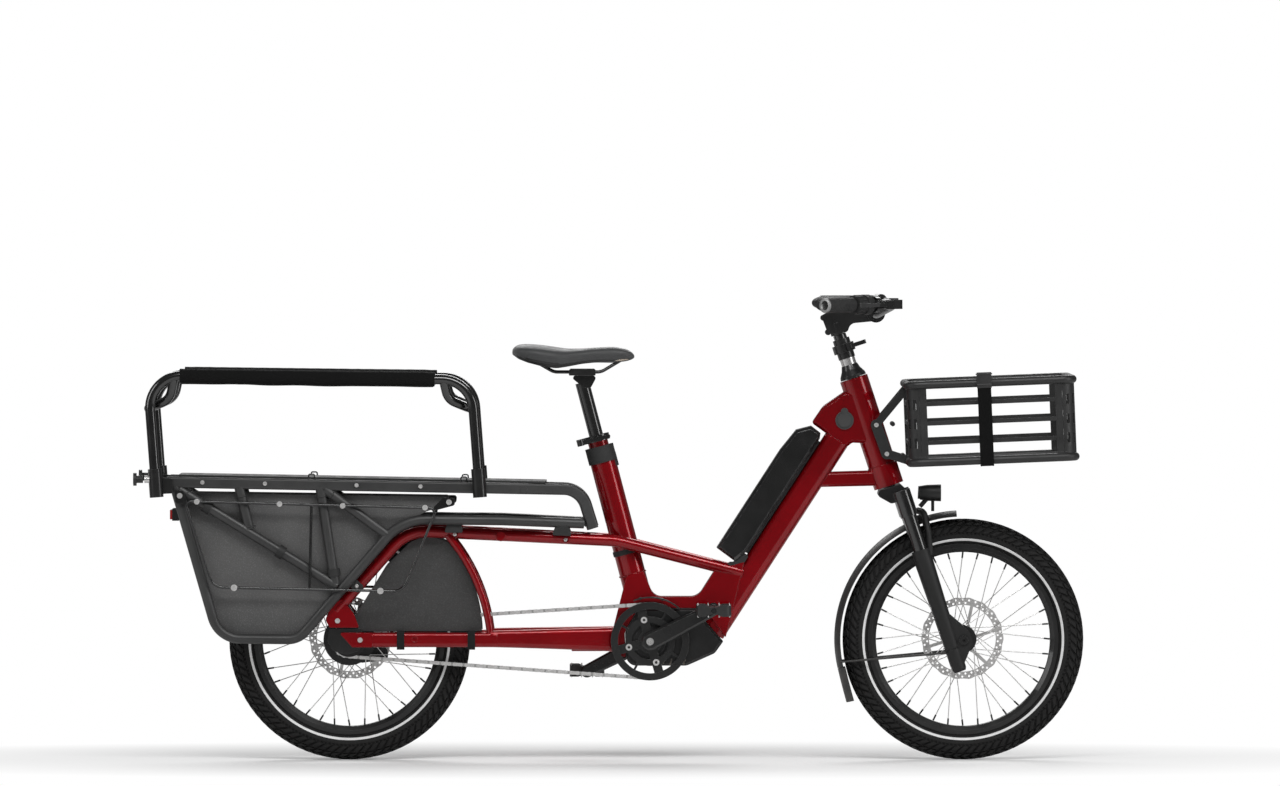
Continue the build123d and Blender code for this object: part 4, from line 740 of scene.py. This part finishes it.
def pale_marks(rear):
    """Small pale strip under each side of the nose."""
    shell = Shell()
    for side in (-1, 1):
        rings = []
        for share in shares(13):
            x = rear + (224 + 30 * share) * MM
            swell = math.sin(math.pi * min(max(share, 0.02), 0.98)) ** 0.5
            middle = Vector((x, side * (22.0 - 5.0 * share ** 1.6) * MM, (870.5 + 3.2 * share) * MM))
            rings.append(circle(middle, Vector((0, side * 0.8, 0)), Vector((0, 0, 1)), 2.0 * MM * swell, 8))
        shell.grid(rings)
    piece("saddle_nose_marks", shell, PALE_STRIP, "seatpost")


def add_subdivision(obj):
    modifier = obj.modifiers.new("Smooth", "SUBSURF")
    modifier.levels = 1
    modifier.render_levels = 1


def tube_along(shell, points, radius):
    """Round bead along a line of points."""
    rings = []
    for k, point in enumerate(points):
        ahead = points[min(k + 1, len(points) - 1)] - points[max(k - 1, 0)]
        side = ahead.cross(Vector((0, 0, 1))).normalized()
        rings.append(circle(point, side, side.cross(ahead).normalized(), radius, 6))
    shell.grid(rings)


# ---------- padded sleeves
SLEEVE_RADIUS = 17.5 * MM       # of the CAD sleeves
SLEEVE_BORE = 12.2 * MM
SWELL_FRAMES = 20
SWELL_LIMIT = 1.2 * MM


def inflate(obj):
    """Swells a closed soft form with a short cloth simulation, whose result is kept in the mesh."""
    obj.data.remesh_voxel_size = 4 * MM
    bpy.context.view_layer.objects.active = obj
    with bpy.context.temp_override(object=obj, active_object=obj):
        bpy.ops.object.voxel_remesh()
    rest = np.zeros(len(obj.data.vertices) * 3)
    obj.data.vertices.foreach_get("co", rest)
    modifier = obj.modifiers.new("Swell", "CLOTH")
    modifier.settings.use_pressure = True
    modifier.settings.uniform_pressure_force = 4.0
    modifier.settings.effector_weights.gravity = 0
    modifier.settings.quality = 5
    for number in range(1, SWELL_FRAMES + 1):
        bpy.context.scene.frame_set(number)
    shaped = obj.evaluated_get(bpy.context.evaluated_depsgraph_get())
    moved = np.zeros(len(rest))
    shaped.data.vertices.foreach_get("co", moved)
    obj.modifiers.remove(modifier)
    bpy.context.scene.frame_set(1)
    step = (moved - rest).reshape(-1, 3)
    length = np.linalg.norm(step, axis=1, keepdims=True)
    step *= np.minimum(1, SWELL_LIMIT / np.maximum(length, 1e-9))
    obj.data.vertices.foreach_set("co", (rest.reshape(-1, 3) + step).ravel())
    obj.data.update()


def sleeve_line(side):
    """Ends of a sleeve's axis, from the two corners of the sleeves' box."""
    low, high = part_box("rail_sleeves")
    y = side * (high.y - SLEEVE_RADIUS)
    return Vector((low.x, y, high.z - SLEEVE_RADIUS)), Vector((high.x, y, low.z + SLEEVE_RADIUS))


def sleeves():
    """Padded fabric sleeves on the hoop's rails, with gathers at the ends and a sewn flap underneath."""
    around = 40
    for side, label in ((-1, "right"), (1, "left")):
        start, end = sleeve_line(side)
        along = (end - start).normalized()
        out = Vector((0, side, 0))
        up = Vector((-along.z, 0, along.x))
        rings = [sleeve_ring(start.lerp(end, share), out, up, share, around) for share in shares(93)]
        rings += [circle(end.lerp(start, share), out, up, SLEEVE_BORE, around) for share in shares(7)]
        shell = Shell()
        shell.grid(rings, closed_along=True)
        name = "rail_sleeve_" + label
        stands_for = ["rail_sleeves"] if side < 0 else ()
        sleeve = piece(name, shell, SLEEVE_CLOTH, "hoop_bar", stands_for)
        inflate(sleeve)
        sleeve.data.polygons.foreach_set("use_smooth", [True] * len(sleeve.data.polygons))
        add_subdivision(sleeve)
        flap(name + "_flap", start, end, out, up)


def sleeve_ring(centre, out, up, share, around):
    """Outside of a sleeve at one place: a soft tube that wrinkles towards its ends."""
    ring = []
    near_end = max(0.0, 1 - min(share, 1 - share) / 0.06)
    for angle in turns(around):
        radius = 16.6 - 0.9 * near_end ** 2
        radius += 0.35 * math.sin(19 * share * TURN + 1.7 * math.sin(angle)) * (0.35 + near_end)
        radius += 0.5 * math.sin(5 * angle + 30 * share) * near_end
        radius += 0.35 * math.sin(2 * angle + 4.2 * share)
        ring.append(centre + (out * math.cos(angle) + up * math.sin(angle)) * radius * MM)
    return ring


def flap(name, start, end, out, up):
    """Sewn edge of the sleeve: a thin double hem that hangs at its lower outside."""
    rings = []
    for share in shares(91):
        swing = math.radians(-58 + 3 * math.sin(9 * share) + 2 * math.sin(31 * share))
        away = out * math.cos(swing) + up * math.sin(swing)
        across = out * -math.sin(swing) + up * math.cos(swing)
        place = start.lerp(end, 0.004 + 0.992 * share)
        depth = 20.2 + 0.5 * math.sin(23 * share)
        upper = [(14.5, 1.3), (17.5, 1.0), (depth - 0.8, 1.1), (depth, 0.5)]
        section = upper + [(d, -t) for d, t in reversed(upper)]
        rings.append([place + (away * d + across * t) * MM for d, t in section])
    shell = Shell()
    shell.grid(rings)
    add_subdivision(piece(name, shell, SLEEVE_CLOTH, "hoop_bar"))


# ---------- grips
GRIP_REACH = 144.4


def grips():
    """Winged rubber grips with a lock ring at the outer end."""
    joint = JOINTS["twist_shift"]
    along_right, root_right = Vector(joint["axis"]).normalized(), Vector(joint["pos_m"])
    for side, label, start in ((1, "left", 1.0), (-1, "right", 56.5)):
        along = Vector((along_right.x, along_right.y * -side, along_right.z))
        root = Vector((root_right.x, root_right.y * -side, root_right.z))
        ahead = Vector((abs(along.y), side * abs(along.x), 0)).normalized()
        up = Vector((0, 0, 1))
        shell = Shell()
        first, last = root + along * start * MM, root + along * GRIP_REACH * MM
        shell.grid([grip_ring(first.lerp(last, share), ahead, up, share, side > 0) for share in shares(97)])
        piece("grip_" + label, shell, GRIP, "stem", ["grips"] if side > 0 else ())
        cap = Shell()
        cap.grid([circle(root + along * at * MM, ahead, up, radius * MM, 36) for at, radius in (
            (140.5, 15.8), (144.6, 16.2), (146.4, 15.6), (147.0, 13.4), (147.0, 10.6), (146.0, 10.0),
            (145.6, 6.0), (145.6, 0.4))])
        ring = piece("grip_ring_" + label, cap, RING_GREY, "stem")
        ring.data.materials.append(GLOSS_BLACK)
        for face in ring.data.polygons:
            if (face.center - root - along * 146 * MM).length < 10.2 * MM:
                face.material_index = 1
        flat_shade_sharp(ring, 40)


def grip_ring(centre, ahead, up, share, full):
    """Section of a grip: a ribbed barrel with a palm wing that grows towards the outer end."""
    wing = 19.0 * min(1, max(0, (share - 0.10) / 0.45)) ** 1.3 * (1 - 0.35 * max(0, (share - 0.86) / 0.14))
    if not full:
        wing *= 0.9
    edge = min(share, 1 - share)
    round_off = min(1.0, edge / 0.03) ** 0.5
    rib = 0.30 * math.sin(share * TURN * (30 if full else 18)) if 0.08 < share < 0.92 else 0
    ring = []
    for angle in turns(48):
        palm = max(0.0, -math.cos(angle))
        radius = 14.2 + 2.1 * round_off + rib * (1 - palm) + wing * palm ** 5
        rise = math.sin(angle) * (1 - 0.12 * palm)
        ring.append(centre + (ahead * math.cos(angle) + up * rise) * radius * MM)
    return ring


# ---------- basket strap
STRAP_WIDTH = 29 * MM
STRAP_TILT = math.radians(2.3)
STRAP_SKIN = 1.2                # half thickness, millimetres


def basket_strap():
    """Elastic webbing hooked over the basket's rim, from the strap's CAD loop."""
    low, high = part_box("basket_strap")
    ahead = Vector((math.cos(STRAP_TILT), 0, math.sin(STRAP_TILT)))
    rise = Vector((-math.sin(STRAP_TILT), 0, math.cos(STRAP_TILT)))
    middle_y = (low.y + high.y) / 2
    half_y = (high.y - low.y) / 2 - STRAP_SKIN * MM
    outer_height = (high.z - low.z - STRAP_WIDTH * math.sin(STRAP_TILT)) / math.cos(STRAP_TILT)
    height = outer_height - 2 * STRAP_SKIN * MM
    root = Vector((low.x + outer_height * math.sin(STRAP_TILT), middle_y, low.z + STRAP_SKIN * MM))
    # (share of the width, half thickness in millimetres), with a rolled edge on both sides
    upper = [(0.0, 0.9), (0.06, 1.2), (0.14, 0.8), (0.5, 0.95), (0.86, 0.8), (0.94, 1.2), (1.0, 0.9)]
    section = upper + [(share, -thick) for share, thick in reversed(upper)]
    rings = []
    corners = [(-half_y, 0), (-half_y, height), (half_y, height), (half_y, 0)]
    for index, (y, z, out_y, out_z) in enumerate(rounded_loop(corners, 6 * MM, 7)):
        sway = 0.105 * math.sin(index * 0.21)
        out = Vector((0, out_y, 0)) + rise * out_z
        edge = root + Vector((0, y, 0)) + rise * z
        rings.append([edge + ahead * STRAP_WIDTH * share + out * (thick + sway) * MM
                      for share, thick in section])
    shell = Shell()
    shell.grid(rings, closed_along=True)
    strap = piece("basket_strap_webbing", shell, WEBBING, "frame", ["basket_strap"])
    flat_shade_sharp(strap, 60)
    strap_hook(root + rise * height, ahead, rise, half_y)


def rounded_loop(corners, radius, steps):
    """Points (y, z, outward y, outward z) round a rounded rectangle, with extra points along its sides."""
    loop = []
    for k, corner in enumerate(corners):
        corner, before, after = (Vector(corners[(k + step) % len(corners)]) for step in (0, -1, 1))
        into, out = (corner - before).normalized(), (after - corner).normalized()
        for angle in np.linspace(0, math.pi / 2, steps):
            away = into * math.sin(angle) - out * math.cos(angle)
            loop.append((*(corner - into * radius + out * radius + away * radius), *away))
        for share in np.arange(1, 12) / 12:
            loop.append((*(corner + out * radius).lerp(after - out * radius, share), *into))
    return loop


def strap_hook(top, ahead, rise, half_y):
    """Moulded hook plate at the strap's top, with two ribs."""
    shell = Shell()
    width = STRAP_WIDTH / MM
    for low, high, grow, proud in ((-26, 8, 1.5, 3.2), (-20, -17.5, 2.2, 4.2), (3, 5.5, 3.4, 4.6)):
        rings = []
        for inset, level in ((1.2, proud - 0.9), (0, proud - 1.6), (0, -0.4)):
            y = half_y + level * MM
            left, right = -grow + inset, width + grow - inset
            corners = ((left, low + inset), (right, low + inset), (right, high - inset), (left, high - inset))
            rings.append([top + (ahead * x + rise * z) * MM - Vector((0, y, 0)) for x, z in corners])
        shell.grid(rings)
    flat_shade_sharp(piece("basket_strap_hook", shell, PLASTIC, "frame"), 30)


# ---------- small added pieces
def lathe(shell, centre, axis, profile, around):
    """Round form about an axis square to X: (radius, distance along the axis) pairs in millimetres."""
    across = Vector((1, 0, 0))
    up = axis.cross(across)
    shell.grid([circle(centre + axis * at * MM, across, up, radius * MM, around) for radius, at in profile])


PIN_SHAPE = ((1.5, 11), (1.5, 13.9), (1.0, 14.4))


def pedal_pins():
    """Grip pins on both faces of the pedals."""
    for label in ("right", "left"):
        centre = Vector(JOINTS[f"pedal_{label}_turn"]["pos_m"])
        shell = Shell()
        for face in (Vector((0, 0, -1)), Vector((0, 0, 1))):
            for x in (-34, -12, 12, 34):
                for y in (-38, 0, 38):
                    lathe(shell, centre + Vector((x, y, 0)) * MM, face, PIN_SHAPE, 10)
        pins = piece(f"pedal_{label}_pins", shell, BRIGHT, f"pedal_{label}")
        flat_shade_sharp(pins, 35)


def weld_bead(shell, centre, axis, radius, bead):
    """Rippled weld ring round a tube."""
    axis = Vector(axis).normalized()
    side = axis.orthogonal().normalized()
    up = axis.cross(side)
    rings = []
    ripples = max(24, int(radius * 1.9))
    for angle in turns(ripples * 4):
        out = side * math.cos(angle) + up * math.sin(angle)
        size = bead * (1 + 0.16 * math.cos(ripples * angle))
        rings.append(circle(Vector(centre) + out * (radius + 0.1) * MM, out, axis, size * MM, 8))
    shell.grid(rings, closed_along=True)


STAY_BRIDGES = ((-0.240, 0.0705, 0.490), (-0.240, 0.0705, 0.268))
RACK_SIDE = 0.105
# (x, z) ends of the rack's slanting tubes
RACK_STRUTS = (((-0.939, 0.592), (-0.596, 0.381)), ((-0.808, 0.596), (-0.786, 0.506)),
               ((-0.632, 0.596), (-0.600, 0.388)), ((-0.622, 0.592), (-0.488, 0.494)))


def welds():
    """Weld beads where round tubes end on other tubes."""
    seat_axis = Vector(JOINTS["seatpost_height"]["axis"]).normalized()
    red, black = Shell(), Shell()
    weld_bead(red, CRANK + seat_axis * 0.150, seat_axis, 28.5, 1.8)
    for side in (-1, 1):
        for x, y, z in STAY_BRIDGES:
            weld_bead(red, (x, side * y, z), (0, 1, 0), 10.2, 1.4)
        for (x0, z0), (x1, z1) in RACK_STRUTS:
            start, end = Vector((x0, side * RACK_SIDE, z0)), Vector((x1, side * RACK_SIDE, z1))
            along = (end - start).normalized()
            weld_bead(black, start + along * 0.020, along, 11.2, 1.4)
        weld_bead(black, (-0.785, side * RACK_SIDE, 0.512), (0.1, 0, -0.99), 11.2, 1.4)
    piece("frame_welds", red, FRAME_RED, "frame")
    piece("rack_welds", black, RACK_BLACK, "frame")


UPPER_STAY_SCREWS = ((-0.340, 0.0838, 0.4938), (-0.099, 0.0652, 0.4815))
LOWER_STAY_BOSS = (-0.427, 0.0894, 0.266)
RACK_TAB_SCREW = (-0.553, 0.1040, 0.382)


def stay_bolts():
    """Bosses with socket screws on the upper stays, and the screws of the rack's lower tabs."""
    bosses, heads = Shell(), Shell()
    for side in (-1, 1):
        out = Vector((0, side, 0))
        for x, y, z in (*UPPER_STAY_SCREWS, LOWER_STAY_BOSS):
            lathe(bosses, Vector((x, side * y, z)), out,
                  ((8.2, -3), (7.6, 0.8), (6.9, 1.9), (5.8, 2.1), (5.2, 1.2), (5.0, -1)), 28)
        for x, y, z in (*UPPER_STAY_SCREWS, RACK_TAB_SCREW):
            lathe(heads, Vector((x, side * y, z)), out,
                  ((4.4, -1), (4.4, 1.6), (3.6, 2.6), (2.2, 2.8), (2.0, 1.0), (0.2, 1.0)), 28)
    flat_shade_sharp(piece("stay_bosses", bosses, FRAME_RED, "frame"), 40)
    flat_shade_sharp(piece("stay_screws", heads, BRIGHT, "frame"), 40)


# ---------- studio
def studio_floor():
    """Pale floor that fades into the backdrop's white away from the bicycle."""
    bpy.ops.mesh.primitive_circle_add(vertices=96, radius=90, fill_type="NGON")
    floor = bpy.context.object
    floor.name = "studio_floor"
    g = Graph("studio_floor")
    squeezed = g.add("ShaderNodeVectorMath", {"operation": "MULTIPLY"})
    g.feed(squeezed.inputs[0], g.place)
    squeezed.inputs[1].default_value = (0.42, 1, 0)
    distance = g.add("ShaderNodeVectorMath", {"operation": "LENGTH"})
    g.feed(distance.inputs[0], squeezed.outputs[0])
    seen = g.add("ShaderNodeLightPath").outputs["Is Camera Ray"]
    away = g.sum("MULTIPLY", g.span(distance.outputs["Value"], 0.25, 0.85), seen)
    g.set(Base_Color=g.blend(g.noise(3, 3), grey(0.90), grey(0.92)), Roughness=0.55, Specular_IOR_Level=0.2)
    glow = g.add("ShaderNodeEmission", Color=grey(1.0), Strength=1.0)
    mix = g.add("ShaderNodeMixShader")
    g.feed(mix.inputs[0], away)
    g.feed(mix.inputs[1], g.shader.outputs[0])
    g.feed(mix.inputs[2], glow.outputs[0])
    g.tree.links.new(mix.outputs[0], g.tree.nodes["Material Output"].inputs["Surface"])
    floor.data.materials.append(g.material)


def studio_world():
    """White backdrop for the camera, and dimmer surroundings for the light it gives."""
    world = bpy.data.worlds.new("studio")
    world.use_nodes = True
    nodes, links = world.node_tree.nodes, world.node_tree.links
    backdrop, surroundings = nodes["Background"], nodes.new("ShaderNodeBackground")
    backdrop.inputs["Color"].default_value = (1, 1, 1, 1)
    surroundings.inputs["Color"].default_value = (1, 1, 1, 1)
    surroundings.inputs["Strength"].default_value = 0.13
    path, mix = nodes.new("ShaderNodeLightPath"), nodes.new("ShaderNodeMixShader")
    links.new(path.outputs["Is Camera Ray"], mix.inputs[0])
    links.new(surroundings.outputs[0], mix.inputs[1])
    links.new(backdrop.outputs[0], mix.inputs[2])
    links.new(mix.outputs[0], nodes["World Output"].inputs["Surface"])
    bpy.context.scene.world = world


def softbox(name, place, target, size, power):
    light = bpy.data.lights.new(name, "AREA")
    light.shape = "RECTANGLE"
    light.size, light.size_y = size
    light.energy = power
    lamp = bpy.data.objects.new(name, light)
    lamp.location = place
    lamp.rotation_euler = (Vector(target) - Vector(place)).to_track_quat("-Z", "Y").to_euler()
    bpy.context.scene.collection.objects.link(lamp)


def studio_lights():
    softbox("key", (0.6, -3.0, 3.4), (0, 0, 0.5), (3.8, 1.0), 120)
    softbox("side", (3.6, -1.8, 1.5), (0.2, 0, 0.5), (1.0, 2.2), 32)
    softbox("rear", (-3.6, -1.6, 1.8), (-0.3, 0, 0.5), (1.0, 2.2), 32)
    softbox("back", (0.0, 3.2, 3.0), (0, 0, 0.5), (3.8, 1.0), 80)


def camera():
    """Long lens square to the drive side, a degree above level."""
    middle_x, middle_z, view_width, distance = 0.063, 0.800, 2.794, 25.0
    elevation = math.radians(1.0)
    lens_data = bpy.data.cameras.new("camera")
    lens_data.sensor_width = 36
    lens_data.lens = lens_data.sensor_width * distance / view_width
    lens_data.clip_end = 200
    eye = bpy.data.objects.new("camera", lens_data)
    back = Vector((0, -math.cos(elevation), math.sin(elevation)))
    eye.location = Vector((middle_x, 0, middle_z)) + back * distance
    eye.rotation_euler = (-back).to_track_quat("-Z", "Y").to_euler()
    bpy.context.scene.collection.objects.link(eye)
    bpy.context.scene.camera = eye
    bpy.context.scene.view_settings.view_transform = "Standard"


# ---------- build
paint_nodes()
tyre("front", FRONT_AXLE)
tyre("rear", REAR_AXLE)
chain()
saddle()
sleeves()
grips()
basket_strap()
pedal_pins()
welds()
stay_bolts()
studio_floor()
studio_world()
studio_lights()
camera()
